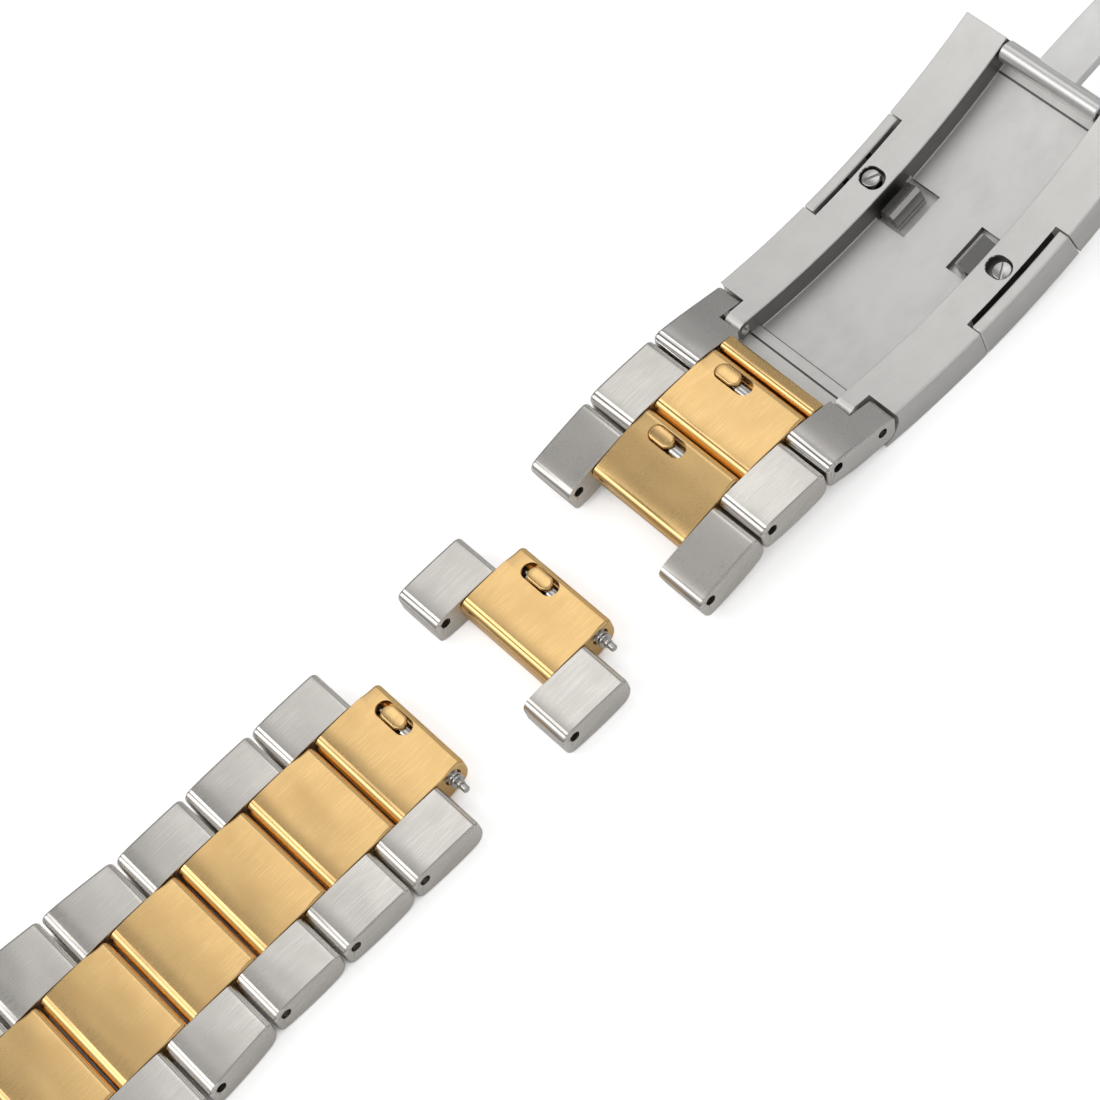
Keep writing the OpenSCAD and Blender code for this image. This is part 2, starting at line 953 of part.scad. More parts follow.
plain_centre(run_link(3));  // run_link_3_centre
link_sides(run_link(3));  // run_link_3_sides
plain_pins(run_link(3));  // run_link_3_pins
plain_centre(run_link(4));  // run_link_4_centre
link_sides(run_link(4), [flare_at(4), flare_at(3)]);  // run_link_4_sides
plain_pins(run_link(4));  // run_link_4_pins
plain_centre(run_link(5));  // run_link_5_centre
link_sides(run_link(5), [flare_at(5), flare_at(4)]);  // run_link_5_sides
plain_pins(run_link(5));  // run_link_5_pins
plain_centre(run_link(6));  // run_link_6_centre
link_sides(run_link(6), [flare_at(6), flare_at(5)]);  // run_link_6_sides
plain_pins(run_link(6));  // run_link_6_pins
lug_link_centre();
lug_link_sides();
lug_link_pins();
lug_bar();
lug_bar_lever();
lug_bar_spring();
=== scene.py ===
"""Metal watch bracelet with a folding clasp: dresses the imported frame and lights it.

Sizes are millimetres, in a link's own frame (x from its lower hinge hole, z from that hole's
axis) or in the clasp's frame, as in the part's source. Meshes are then placed in the row's
frame, in metres.
"""

from __future__ import annotations

import json
import logging
import math
from dataclasses import dataclass, field
from enum import Enum
from typing import Any, Callable, Protocol, Sequence

import bmesh
import bpy
from mathutils import Matrix, Vector


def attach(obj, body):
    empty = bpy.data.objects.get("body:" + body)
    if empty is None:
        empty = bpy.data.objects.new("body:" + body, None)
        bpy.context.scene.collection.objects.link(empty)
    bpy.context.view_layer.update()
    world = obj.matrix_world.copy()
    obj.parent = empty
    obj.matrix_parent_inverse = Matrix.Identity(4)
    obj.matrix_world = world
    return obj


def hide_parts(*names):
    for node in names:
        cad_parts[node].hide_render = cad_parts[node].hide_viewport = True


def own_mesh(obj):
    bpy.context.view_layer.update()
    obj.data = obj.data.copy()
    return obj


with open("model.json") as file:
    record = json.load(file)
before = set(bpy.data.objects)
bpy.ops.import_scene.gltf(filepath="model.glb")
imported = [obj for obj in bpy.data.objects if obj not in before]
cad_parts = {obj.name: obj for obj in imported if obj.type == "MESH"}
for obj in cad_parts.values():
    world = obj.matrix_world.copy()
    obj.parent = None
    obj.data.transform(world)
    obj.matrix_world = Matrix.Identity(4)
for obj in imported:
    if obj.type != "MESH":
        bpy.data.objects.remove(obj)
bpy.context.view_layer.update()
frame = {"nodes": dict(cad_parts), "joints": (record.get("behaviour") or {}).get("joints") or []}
LOG = logging.getLogger("bracelet")

Flat = tuple[float, float]
Triple = tuple[float, float, float]
Colour = Triple
MM = 0.001
MID_X = 29.114
RUN_X = -15.57
END_TILT = -11.5
LINK_2_TILT = -0.8
LINK_1_TILT = 9.9
TIPS_OUT = 0.6
TURN = 2 * math.pi
ROUND = 48
POINT = 0.004
SLACK = 0.02
FLIP = Matrix.Diagonal((1, -1, 1, 1))


class Side(Enum):
    """Left is +Y, where the levers are, and right is -Y."""

    LEFT = 1
    RIGHT = -1

    @property
    def matrix(self) -> Matrix:
        """Returns what carries a left piece to this side."""
        return Matrix.Diagonal((1, self.value, 1, 1))


class Metal(Enum):
    """The record's material slots."""

    GOLD = "gold_brushed"
    STEEL = "steel_brushed"
    CLASP = "clasp_steel"
    BRIGHT = "steel_bright"
    SPRING = "spring_steel"


# Outlines


@dataclass(frozen=True)
class Corner:
    """A corner of an outline, rounded with a radius."""

    x: float
    z: float
    radius: float = 0.0


def rounded(corners: Sequence[Corner], steps: int = 10) -> list[Flat]:
    """Makes an outline of corners.

    Args:
        corners: The corners in order, the last joined to the first.
        steps: Straight pieces in each rounded corner.

    Returns:
        The outline's points.
    """
    out: list[Flat] = []
    count = len(corners)
    for i, corner in enumerate(corners):
        if corner.radius == 0:
            out.append((corner.x, corner.z))
            continue
        at = Vector((corner.x, corner.z))
        before, after = corners[i - 1], corners[(i + 1) % count]
        u = (Vector((before.x, before.z)) - at).normalized()
        v = (Vector((after.x, after.z)) - at).normalized()
        half = math.acos(max(-1.0, min(1.0, u.dot(v)))) / 2
        middle = at + (u + v).normalized() * corner.radius / math.sin(half)
        start = at + u * corner.radius / math.tan(half) - middle
        end = at + v * corner.radius / math.tan(half) - middle
        first = math.atan2(start.y, start.x)
        turn = (math.atan2(end.y, end.x) - first + 1.5 * TURN) % TURN - TURN / 2
        for k in range(steps + 1):
            angle = first + turn * k / steps
            out.append((
                middle.x + corner.radius * math.cos(angle),
                middle.y + corner.radius * math.sin(angle),
            ))
    return out


def circle(x: float, z: float, radius: float, count: int = ROUND) -> list[Flat]:
    """Returns the points of a circle."""
    return [
        (x + radius * math.cos(TURN * i / count), z + radius * math.sin(TURN * i / count))
        for i in range(count)
    ]


def stadium(x: float, y: float, length: float, width: float, steps: int = 20) -> list[Flat]:
    """Returns an oval with straight sides along y.

    Args:
        x: Its middle on x.
        y: Its middle on y.
        length: Its length along y.
        width: Its width.
        steps: Straight pieces in each rounded end.

    Returns:
        The outline's points.
    """
    out: list[Flat] = []
    reach = (length - width) / 2
    for end, start in ((1, 0.0), (-1, math.pi)):
        for k in range(steps + 1):
            angle = start + math.pi * k / steps
            out.append((
                x + width / 2 * math.cos(angle),
                y + end * reach + width / 2 * math.sin(angle),
            ))
    return out


def inset(outline: Sequence[Flat], distances: Sequence[float]) -> list[Flat]:
    """Moves each point of an outline inwards.

    Args:
        outline: The closed outline.
        distances: How far each point's sides move.

    Returns:
        The new outline, with the same count of points.
    """
    count = len(outline)
    area = sum(
        outline[i][0] * outline[(i + 1) % count][1] - outline[(i + 1) % count][0] * outline[i][1]
        for i in range(count)
    )
    hand = 1.0 if area > 0 else -1.0
    out: list[Flat] = []
    for i in range(count):
        here = Vector(outline[i])
        a = (here - Vector(outline[i - 1])).normalized()
        b = (Vector(outline[(i + 1) % count]) - here).normalized()
        n1, n2 = Vector((a.y, -a.x)) * hand, Vector((b.y, -b.x)) * hand
        move = (n1 + n2) / max(0.2, 1 + n1.dot(n2))
        out.append(tuple(here - move * distances[i]))
    return out


# Forms


Edge = float | Callable[[float, float], float]


def edge_at(edge: Edge, point: Flat) -> float:
    """Returns the edge radius at a point of an outline."""
    return edge(*point) if callable(edge) else edge


@dataclass
class Form:
    """A closed shape in millimetres."""

    points: list[Vector] = field(default_factory=list)
    faces: list[tuple[int, ...]] = field(default_factory=list)

    def loft(self, rings: Sequence[Sequence[Vector]], looped: bool = False) -> Form:
        """Adds a skin through rings of equal counts.

        Args:
            rings: The rings in order.
            looped: Whether the last ring joins the first, in place of two end faces.

        Returns:
            This form.
        """
        base, count = len(self.points), len(rings[0])
        for ring in rings:
            self.points.extend(ring)
        last = len(rings) if looped else len(rings) - 1
        for k in range(last):
            low, high = base + k * count, base + (k + 1) % len(rings) * count
            for i in range(count):
                j = (i + 1) % count
                self.faces.append((low + i, low + j, high + j, high + i))
        if not looped:
            top = base + (len(rings) - 1) * count
            self.faces.append(tuple(range(base, base + count)))
            self.faces.append(tuple(range(top, top + count)))
        return self

    def moved(self, matrix: Matrix) -> Form:
        """Returns a copy carried by a matrix."""
        return Form([matrix @ p for p in self.points], list(self.faces))

    def plus(self, other: Form) -> Form:
        """Returns this form and another in one, not joined."""
        base = len(self.points)
        faces = self.faces + [tuple(i + base for i in f) for f in other.faces]
        return Form(self.points + other.points, faces)

    def mesh(self, name: str) -> bpy.types.Mesh:
        """Returns the form as a mesh whose faces point outwards."""
        out = bpy.data.meshes.new(name)
        out.from_pydata([tuple(p) for p in self.points], [], self.faces)
        solid = bmesh.new()
        solid.from_mesh(out)
        bmesh.ops.remove_doubles(solid, verts=solid.verts, dist=1e-5)
        bmesh.ops.recalc_face_normals(solid, faces=solid.faces)
        solid.to_mesh(out)
        solid.free()
        return out


def slab(outline: Sequence[Flat], low: float, high: float, edges: tuple[Edge, Edge] = (0, 0),
         steps: int = 5) -> Form:
    """Draws an outline of x and z along y, with rounded edges at both ends.

    Args:
        outline: The outline.
        low: Where it starts on y.
        high: Where it ends on y.
        edges: Edge radius at the low and at the high end, plain or by x and z.
        steps: Rings in each rounded edge.

    Returns:
        The form.
    """
    rings: list[list[Vector]] = []
    for end, (y, edge) in enumerate(zip((low, high), edges)):
        out = 1 if end else -1
        radii = [edge_at(edge, p) for p in outline]
        flat = max(radii) == 0
        order = range(steps + 1) if end else range(steps, -1, -1)
        for k in ([0] if flat else order):
            angle = math.pi / 2 * k / steps
            pulled = inset(outline, [r * (1 - math.cos(angle)) for r in radii])
            rings.append([
                Vector((p[0], y - out * r * (1 - math.sin(angle)), p[1]))
                for p, r in zip(pulled, radii)
            ])
    return Form().loft(rings)


def column(outline: Sequence[Flat], levels: Sequence[Flat]) -> Form:
    """Draws an outline of x and y up through levels of height and inset.

    Args:
        outline: The outline.
        levels: Height and inset of each level.

    Returns:
        The form.
    """
    return Form().loft([
        [Vector((p[0], p[1], z)) for p in inset(outline, [d] * len(outline))]
        for z, d in levels
    ])


def turned(profile: Sequence[Flat], x: float, z: float, looped: bool = False,
           count: int = ROUND) -> Form:
    """Turns a profile of y and radius about a line along y.

    Args:
        profile: Points of y and radius.
        x: The line's x.
        z: The line's z.
        looped: Whether the profile is closed, as for a tube.
        count: Sides of the turned form.

    Returns:
        The form.
    """
    rings = [(y, circle(x, z, max(r, POINT), count)) for y, r in profile]
    return Form().loft([[Vector((p[0], y, p[1])) for p in ring] for y, ring in rings], looped)


def block(low: Triple, high: Triple) -> Form:
    """Returns a box between two corners, used to cut with."""
    ring = [(low[0], low[1]), (high[0], low[1]), (high[0], high[1]), (low[0], high[1])]
    return Form().loft([[Vector((x, y, z)) for x, y in ring] for z in (low[2], high[2])])


def through(x: float, z: float, radius: float, reach: float = 6.0) -> Form:
    """Returns a cutter for a hole through the whole width."""
    return turned([(-reach, radius), (reach, radius)], x, z)


def collar(start: float, end: float, radius: float, bevel: float) -> list[Flat]:
    """Returns the profile of y and radius of a cylinder with bevelled ends."""
    low = radius - bevel
    return [(start, low), (start + bevel, radius), (end - bevel, radius), (end, low)]


def bevelled_hole(x: float, z: float, radius: float, mouth: float, depth: float,
                  rim: float = 0.03) -> Form:
    """Returns a cutter for a round hole whose mouth is at the left face.

    Args:
        x: Place of the hole's axis.
        z: Height of the hole's axis.
        radius: The hole's radius.
        mouth: The y of the face that the hole opens in.
        depth: How deep the hole is.
        rim: Width of the bevel round its mouth.

    Returns:
        The cutter.
    """
    return turned(
        [(mouth - depth, radius), (mouth - rim, radius), (mouth, radius + rim),
         (mouth + 0.3, radius + rim + 0.3)],
        x, z,
    )


# Meshes and pieces


def evaluated(thing: bpy.types.Object) -> bpy.types.Mesh:
    """Returns a plain mesh of an object with its modifiers, and removes the object.

    Args:
        thing: The object.

    Returns:
        The mesh.
    """
    bpy.context.view_layer.update()
    depsgraph = bpy.context.evaluated_depsgraph_get()
    out = bpy.data.meshes.new_from_object(
        thing.evaluated_get(depsgraph), preserve_all_data_layers=True, depsgraph=depsgraph
    )
    bpy.data.objects.remove(thing)
    return out


def linked(name: str, data: bpy.types.ID) -> bpy.types.Object:
    """Returns a new object of the scene with a mesh or a camera."""
    out = bpy.data.objects.new(name, data)
    bpy.context.scene.collection.objects.link(out)
    return out


class Cut(Enum):
    """What a boolean does with its tool."""

    TAKE = "DIFFERENCE"
    ADD = "UNION"


def carved(mesh: bpy.types.Mesh, tools: Sequence[tuple[Cut, Form]]) -> bpy.types.Mesh:
    """Cuts forms out of a mesh or adds them to it.

    Args:
        mesh: The mesh to work on.
        tools: What is cut or added, in order.

    Returns:
        The result.
    """
    body = linked("blank", mesh)
    helpers = []
    for cut, form in tools:
        helper = linked("tool", form.mesh("tool"))
        helpers.append(helper)
        step = body.modifiers.new("cut", "BOOLEAN")
        step.solver = "EXACT"
        step.operation = cut.value
        step.object = helper
    out = evaluated(body)
    for helper in helpers:
        data = helper.data
        bpy.data.objects.remove(helper)
        bpy.data.meshes.remove(data)
    return out


def polished(mesh: bpy.types.Mesh, rule: Callable[[Vector], float]) -> bpy.types.Mesh:
    """Stores how polished each point is, by a rule on its place in millimetres.

    Args:
        mesh: The mesh.
        rule: The rule.

    Returns:
        The same mesh.
    """
    layer = mesh.attributes.new("polish", "FLOAT", "POINT")
    layer.data.foreach_set("value", [rule(v.co) for v in mesh.vertices])
    return mesh


def smoothed(thing: bpy.types.Object, angle: float = 32.0) -> bpy.types.Mesh:
    """Shades an object smooth between sharp edges, its flats kept flat, and takes its mesh.

    Args:
        thing: The object.
        angle: The angle in degrees from which an edge is sharp.

    Returns:
        The mesh.
    """
    mesh = thing.data
    mesh.shade_smooth()
    mesh.set_sharp_from_angle(angle=math.radians(angle))
    weigh = thing.modifiers.new("weigh", "WEIGHTED_NORMAL")
    weigh.keep_sharp = True
    weigh.weight = 80
    return evaluated(thing)


@dataclass(frozen=True)
class Place:
    """Where a link lies: its lower hinge hole and its tilt."""

    x: float
    z: float
    tilt: float = 0.0

    def matrix(self) -> Matrix:
        """Returns the matrix from the link's millimetres to the row's metres."""
        return (
            Matrix.Translation(((self.x - MID_X) * MM, 0, self.z * MM))
            @ Matrix.Rotation(-math.radians(self.tilt), 4, "Y")
            @ Matrix.Scale(MM, 4)
        )

    def at(self, x: float, z: float = 0.0) -> Flat:
        """Returns a point of the link in the row's layout, in millimetres."""
        c, s = math.cos(math.radians(self.tilt)), math.sin(math.radians(self.tilt))
        return self.x + x * c - z * s, self.z + x * s + z * c


CLASP_PLACE = Place(0, 0)


# Node trees


class Wire:
    """A socket that adds Math nodes when it is used in an expression."""

    def __init__(self, graph: Graph, socket: bpy.types.NodeSocket) -> None:
        """Keeps the tree and the socket."""
        self.graph = graph
        self.socket = socket

    def _math(self, operation: str, *values: Any) -> Wire:
        """Adds one Math node."""
        return self.graph.node(
            "ShaderNodeMath", {"operation": operation}, dict(enumerate(values))
        )

    def __add__(self, other: Any) -> Wire:
        """Adds."""
        return self._math("ADD", self, other)

    __radd__ = __add__

    def __sub__(self, other: Any) -> Wire:
        """Takes away."""
        return self._math("SUBTRACT", self, other)

    def __rsub__(self, other: Any) -> Wire:
        """Takes this away from the other."""
        return self._math("SUBTRACT", other, self)

    def __mul__(self, other: Any) -> Wire:
        """Multiplies."""
        return self._math("MULTIPLY", self, other)

    __rmul__ = __mul__

    def __truediv__(self, other: Any) -> Wire:
        """Divides."""
        return self._math("DIVIDE", self, other)

    def highest(self, other: Any) -> Wire:
        """Returns the higher of two values."""
        return self._math("MAXIMUM", self, other)

    def ramped(self, low: float, high: float, to: Flat = (0.0, 1.0)) -> Wire:
        """Goes smoothly between two values as this goes from low to high.

        Args:
            low: Where the step starts.
            high: Where it ends.
            to: The values before and after it.

        Returns:
            The value.
        """
        return self.graph.node(
            "ShaderNodeMapRange", {"interpolation_type": "SMOOTHSTEP", "clamp": True},
            {0: self, 1: low, 2: high, 3: to[0], 4: to[1]},
        )


class Graph:
    """A node tree that is filled by one method."""

    def __init__(self, tree: bpy.types.NodeTree) -> None:
        """Empties the tree."""
        self.tree = tree
        tree.nodes.clear()

    def node(self, kind: str, settings: dict[str, Any] | None = None,
             inputs: dict[Any, Any] | None = None, output: int | str = 0) -> Wire:
        """Adds a node.

        Args:
            kind: The node's type.
            settings: Attributes, set first.
            inputs: Values or wires by socket name or number.
            output: The socket that the result stands for.

        Returns:
            The chosen output.
        """
        node = self.tree.nodes.new(kind)
        for key, value in (settings or {}).items():
            setattr(node, key, value)
        for key, value in (inputs or {}).items():
            if isinstance(value, Wire):
                self.tree.links.new(value.socket, node.inputs[key])
            else:
                node.inputs[key].default_value = value
        return Wire(self, node.outputs[output]) if node.outputs else Wire(self, None)

    def mixed(self, factor: Any, a: Any, b: Any) -> Wire:
        """Mixes two colours."""
        return self.node(
            "ShaderNodeMix", {"data_type": "RGBA"},
            {"Factor": factor, 6: self.paint(a), 7: self.paint(b)}, 2,
        )

    def noise(self, place: Wire, sizes: Triple, detail: float = 2.0,
              roughness: float = 0.5) -> Wire:
        """Adds noise whose cells have the given sizes in millimetres.

        Args:
            place: The coordinates, in metres.
            sizes: Size of a cell along x, y and z.
            detail: Levels of finer noise.
            roughness: Strength of the finer levels.

        Returns:
            The noise, about 0.5 in the middle.
        """
        spread = self.node(
            "ShaderNodeMapping", {"vector_type": "POINT"},
            {"Vector": place, "Scale": tuple(1 / (s * MM) for s in sizes)},
        )
        return self.node(
            "ShaderNodeTexNoise", {"noise_dimensions": "3D"},
            {"Vector": spread, "Scale": 1.0, "Detail": detail, "Roughness": roughness},
        )

    def bump(self, height: Wire, strength: float, depth: float, below: Wire | None = None) -> Wire:
        """Adds a Bump node.

        Args:
            height: The relief.
            strength: How much of it shows.
            depth: Its depth in metres.
            below: The normal that it is laid on.

        Returns:
            The normal.
        """
        inputs = {"Strength": strength, "Distance": depth, "Height": height}
        if below is not None:
            inputs["Normal"] = below
        return self.node("ShaderNodeBump", None, inputs)

    def metal(self, colour: Wire, roughness: Wire, normal: Wire) -> None:
        """Ends the tree in a metal's surface."""
        shader = self.node("ShaderNodeBsdfPrincipled", None, {
            "Base Color": colour, "Metallic": 1.0, "Roughness": roughness, "Normal": normal,
        })
        self.node("ShaderNodeOutputMaterial", None, {"Surface": shader})

    @staticmethod
    def paint(colour: Any) -> Any:
        """Adds an alpha to a plain colour."""
        return (*colour, 1.0) if isinstance(colour, tuple) and len(colour) == 3 else colour


# Finishes


def new_material(name: str) -> tuple[bpy.types.Material, Graph]:
    """Returns an empty material and its tree."""
    material = bpy.data.materials.new(name)
    material.use_nodes = True
    return material, Graph(material.node_tree)


@dataclass(frozen=True)
class Brushed:
    """Metal brushed along the bracelet, with edges polished where the mesh says so."""

    name: str
    colour: Colour
    shade: Colour
    roughness: float = 0.3
    edge_roughness: float = 0.14
    streak: float = 0.16
    mottle: float = 0.2
    relief: float = 0.05
    relief_deep: float = 0.00002
    wave: float = 0.00012
    grain: float = 0.05
    length: float = 3.0
    fine_share: float = 0.85
    uneven: float = 0.08
    scratches: float = 0.0
    cloud: Triple = (3.2, 2.4, 2.4)
    swell: Triple = (4.5, 9.0, 9.0)
    mark: Triple = (0.05, 0.9, 0.9)
    marked: Triple = (2.6, 1.8, 1.8)

    def build(self) -> bpy.types.Material:
        """Returns the material."""
        material, g = new_material(self.name)
        place = g.node("ShaderNodeTexCoord", output="Object")
        edge = g.node(
            "ShaderNodeAttribute", {"attribute_name": "polish"}, output="Fac"
        )
        flat = 1 - edge
        fine = g.noise(place, (self.length, self.grain, self.grain), 3.0, 0.6)
        broad = g.noise(place, (self.length * 3, self.grain * 5, self.grain * 5), 2.0)
        cloud = g.noise(place, self.cloud, 3.0, 0.55)
        lines = (fine * self.fine_share + broad * (1 - self.fine_share)).ramped(0.3, 0.7)
        dark = flat * lines * self.streak + cloud.ramped(0.35, 0.75) * self.mottle
        if self.scratches:
            mark = g.noise(place, self.mark, 2.0).ramped(0.66, 0.74)
            marked = g.noise(place, self.marked, 1.0).ramped(0.52, 0.66)
            dark = dark + mark * marked * self.scratches
        rough = edge.ramped(0.0, 1.0, (self.roughness, self.edge_roughness))
        rough = rough + (lines - 0.5) * self.uneven + (cloud - 0.5) * self.uneven
        bump = g.bump(fine * flat, self.relief, self.relief_deep)
        bump = g.bump(g.noise(place, self.swell, 1.0) * flat, 1.0, self.wave, bump)
        g.metal(g.mixed(dark, self.colour, self.shade), rough, bump)
        return material


@dataclass(frozen=True)
class Blasted:
    """Matt steel with a fine even grain and a few faint stains."""

    name: str
    colour: Colour
    shade: Colour
    roughness: float = 0.42
    uneven: Flat = (-0.04, 0.05)
    grain: float = 0.07
    grit: float = 0.2
    stain: float = 0.25
    spots: float = 0.15
    relief: float = 0.12
    relief_deep: float = 0.00002
    cloud: Triple = (3.0, 2.2, 2.2)
    spot: Triple = (0.5, 0.4, 0.4)

    def build(self) -> bpy.types.Material:
        """Returns the material."""
        material, g = new_material(self.name)
        place = g.node("ShaderNodeTexCoord", output="Object")
        grit = g.noise(place, (self.grain,) * 3, 2.0, 0.6)
        cloud = g.noise(place, self.cloud, 4.0, 0.6)
        spots = g.noise(place, self.spot, 2.0).ramped(0.7, 0.8)
        dark = grit.ramped(0.3, 0.75) * self.grit + cloud.ramped(0.4, 0.75) * self.stain
        low, high = (self.roughness + u for u in self.uneven)
        g.metal(
            g.mixed(dark + spots * self.spots, self.colour, self.shade),
            cloud.ramped(0.2, 0.8, (low, high)), g.bump(grit, self.relief, self.relief_deep),
        )
        return material


@dataclass(frozen=True)
class Drawn:
    """Bright drawn or turned metal with fine rings round its length."""

    name: str
    colour: Colour
    shade: Colour
    roughness: float = 0.2
    uneven: float = 0.1
    ringed: float = 0.35
    mottle: float = 0.3
    relief: float = 0.08
    relief_deep: float = 0.00001
    ring: Triple = (3.0, 0.05, 3.0)
    cloud: Triple = (0.8, 0.8, 0.8)

    def build(self) -> bpy.types.Material:
        """Returns the material."""
        material, g = new_material(self.name)
        place = g.node("ShaderNodeTexCoord", output="Object")
        rings = g.noise(place, self.ring, 2.0)
        cloud = g.noise(place, self.cloud, 3.0)
        dark = rings.ramped(0.35, 0.7) * self.ringed + cloud.ramped(0.4, 0.8) * self.mottle
        g.metal(
            g.mixed(dark, self.colour, self.shade),
            rings.ramped(0.2, 0.8, (self.roughness, self.roughness + self.uneven)),
            g.bump(rings, self.relief, self.relief_deep),
        )
        return material


class Finishes:
    """The finishes of the bracelet, each built when it is first used."""

    GOLD = Brushed(
        "gold satin", (0.99, 0.67, 0.30), (0.80, 0.48, 0.17), edge_roughness=0.22,
        streak=0.1, mottle=0.14, scratches=0.3,
    )
    STEEL = Brushed(
        "steel satin", (0.80, 0.768, 0.72), (0.54, 0.515, 0.475), edge_roughness=0.24,
        streak=0.16, mottle=0.14,
    )
    EAR = Brushed("end link steel", (0.78, 0.755, 0.73), (0.50, 0.475, 0.45), streak=0.3)
    RAIL = Brushed(
        "clasp satin", (0.97, 0.955, 0.93), (0.80, 0.785, 0.76), roughness=0.56,
        streak=0.2, mottle=0.2, wave=0.00003, length=2.0,
    )
    # Painted shade: a darker copy of the clasp satin for the outer side faces, standing for the
    # shade on the sides.
    FLANK_PAINTED_SHADE = Brushed(
        "clasp side satin", (0.76, 0.75, 0.73), (0.56, 0.55, 0.535), roughness=0.45,
        streak=0.2, mottle=0.2, wave=0.00003, length=2.0,
    )
    # Painted shade: darker steel on the slider and hook, standing for the shade inside the window
    # they sit in.
    HOOK_PAINTED_SHADE = Brushed(
        "hook steel", (0.56, 0.55, 0.54), (0.36, 0.355, 0.35), roughness=0.24, streak=0.3,
    )
    FLOOR = Blasted("clasp channel steel", (0.97, 0.96, 0.94), (0.80, 0.79, 0.77), roughness=0.6)
    # Painted shade: near-black steel on the rails' inner walls, the windows, scored lines, pockets
    # and screw recesses, standing for the shade in them.
    RECESS_PAINTED_SHADE = Brushed(
        "clasp wall steel", (0.22, 0.217, 0.21), (0.14, 0.137, 0.133), roughness=0.4, streak=0.3,
    )
    BRIGHT = Drawn("drawn steel", (0.72, 0.71, 0.69), (0.42, 0.41, 0.39))
    BLADE = Brushed(
        "blade steel", (0.86, 0.855, 0.84), (0.70, 0.695, 0.68), roughness=0.45,
        streak=0.2, mottle=0.2, wave=0.00003,
    )
    SPRING = Drawn("spring wire", (0.5, 0.49, 0.47), (0.25, 0.24, 0.23), roughness=0.3)

    def __init__(self) -> None:
        """Starts with nothing built."""
        self.built: dict[str, bpy.types.Material] = {}

    def get(self, finish: Brushed | Blasted | Drawn) -> bpy.types.Material:
        """Returns a finish as a material."""
        if finish.name not in self.built:
            self.built[finish.name] = finish.build()
        return self.built[finish.name]


Finish = Brushed | Blasted | Drawn
FINISHES = Finishes()


def placed(name: str, mesh: bpy.types.Mesh, place: Place, finishes: Sequence[Finish],
           metal: Metal, body: str, nodes: Sequence[str] = ()) -> bpy.types.Object:
    """Makes a finished piece of a mesh in millimetres.

    Args:
        name: The piece's name.
        mesh: The mesh, in the link's or the clasp's frame.
        place: Where it goes.
        finishes: Finishes for the mesh's material numbers.
        metal: The record's slot. Not used.
        body: The body it rides on.
        nodes: CAD nodes it stands for.

    Returns:
        The piece.
    """
    copy = mesh.copy()
    copy.transform(place.matrix())
    done = smoothed(linked(name, copy))
    done.name = name
    numbers = [0] * len(done.polygons)
    done.polygons.foreach_get("material_index", numbers)
    done.materials.clear()
    for finish in finishes:
        done.materials.append(FINISHES.get(finish))
    done.polygons.foreach_set("material_index", numbers)
    piece = linked(name, done)
    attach(piece, body)
    if nodes:
        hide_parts(*nodes)
    return piece


def squashed(piece: bpy.types.Object, joint: str, way: int, start: Triple,
             length: float) -> None:
    """Lets a spring along y give way to a slide.

    Args:
        piece: The spring.
        joint: The slide.
        way: The end that moves, 1 for +y and -1 for -y. Not used.
        start: The end that stays, in the layout's millimetres.
        length: The spring's length in millimetres.
    """
    limit = next(j["range_m"][1] for j in frame["joints"] if j["name"] == joint)
    x, y, z = start
    (x - MID_X) * MM
    y * MM
    z * MM
    1 - limit / MM / length
    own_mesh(piece)


# Geometry node trees


class Tree(Enum):
    """The sockets a geometry tree can take."""

    GEOMETRY = "NodeSocketGeometry"
    FLOAT = "NodeSocketFloat"
    INT = "NodeSocketInt"
    MATERIAL = "NodeSocketMaterial"


class GeometryTree:
    """A geometry node tree with named inputs."""

    def __init__(self, name: str, inputs: dict[str, Tree]) -> None:
        """Makes the tree and its inputs.

        Args:
            name: The tree's name.
            inputs: Kind of each named input.
        """
        self.tree = bpy.data.node_groups.new(name, "GeometryNodeTree")
        self.graph = Graph(self.tree)
        self.keys: dict[str, str] = {}
        for key, kind in inputs.items():
            socket = self.tree.interface.new_socket(key, in_out="INPUT", socket_type=kind.value)
            self.keys[key] = socket.identifier
        self.tree.interface.new_socket(
            "Geometry", in_out="OUTPUT", socket_type=Tree.GEOMETRY.value
        )
        self.source = self.tree.nodes.new("NodeGroupInput")

    def given(self, key: str) -> Wire:
        """Returns a named input inside the tree."""
        return Wire(self.graph, self.source.outputs[key])

    def close(self, geometry: Wire) -> None:
        """Ends the tree in Realize Instances and Set Material."""
        real = self.graph.node("GeometryNodeRealizeInstances", None, {"Geometry": geometry})
        dressed = self.graph.node(
            "GeometryNodeSetMaterial", None, {"Geometry": real, "Material": self.given("Finish")}
        )
        self.graph.node("NodeGroupOutput", None, {0: dressed})

    def applied(self, name: str, mesh: bpy.types.Mesh, values: dict[str, Any]) -> bpy.types.Mesh:
        """Runs the tree on a mesh.

        Args:
            name: Name of the piece.
            mesh: The mesh it starts from.
            values: Values of the named inputs.

        Returns:
            The result as a plain mesh.
        """
        holder = linked(name, mesh)
        step = holder.modifiers.new(name, "NODES")
        step.node_group = self.tree
        for key, value in values.items():
            step[self.keys[key]] = value
        return evaluated(holder)


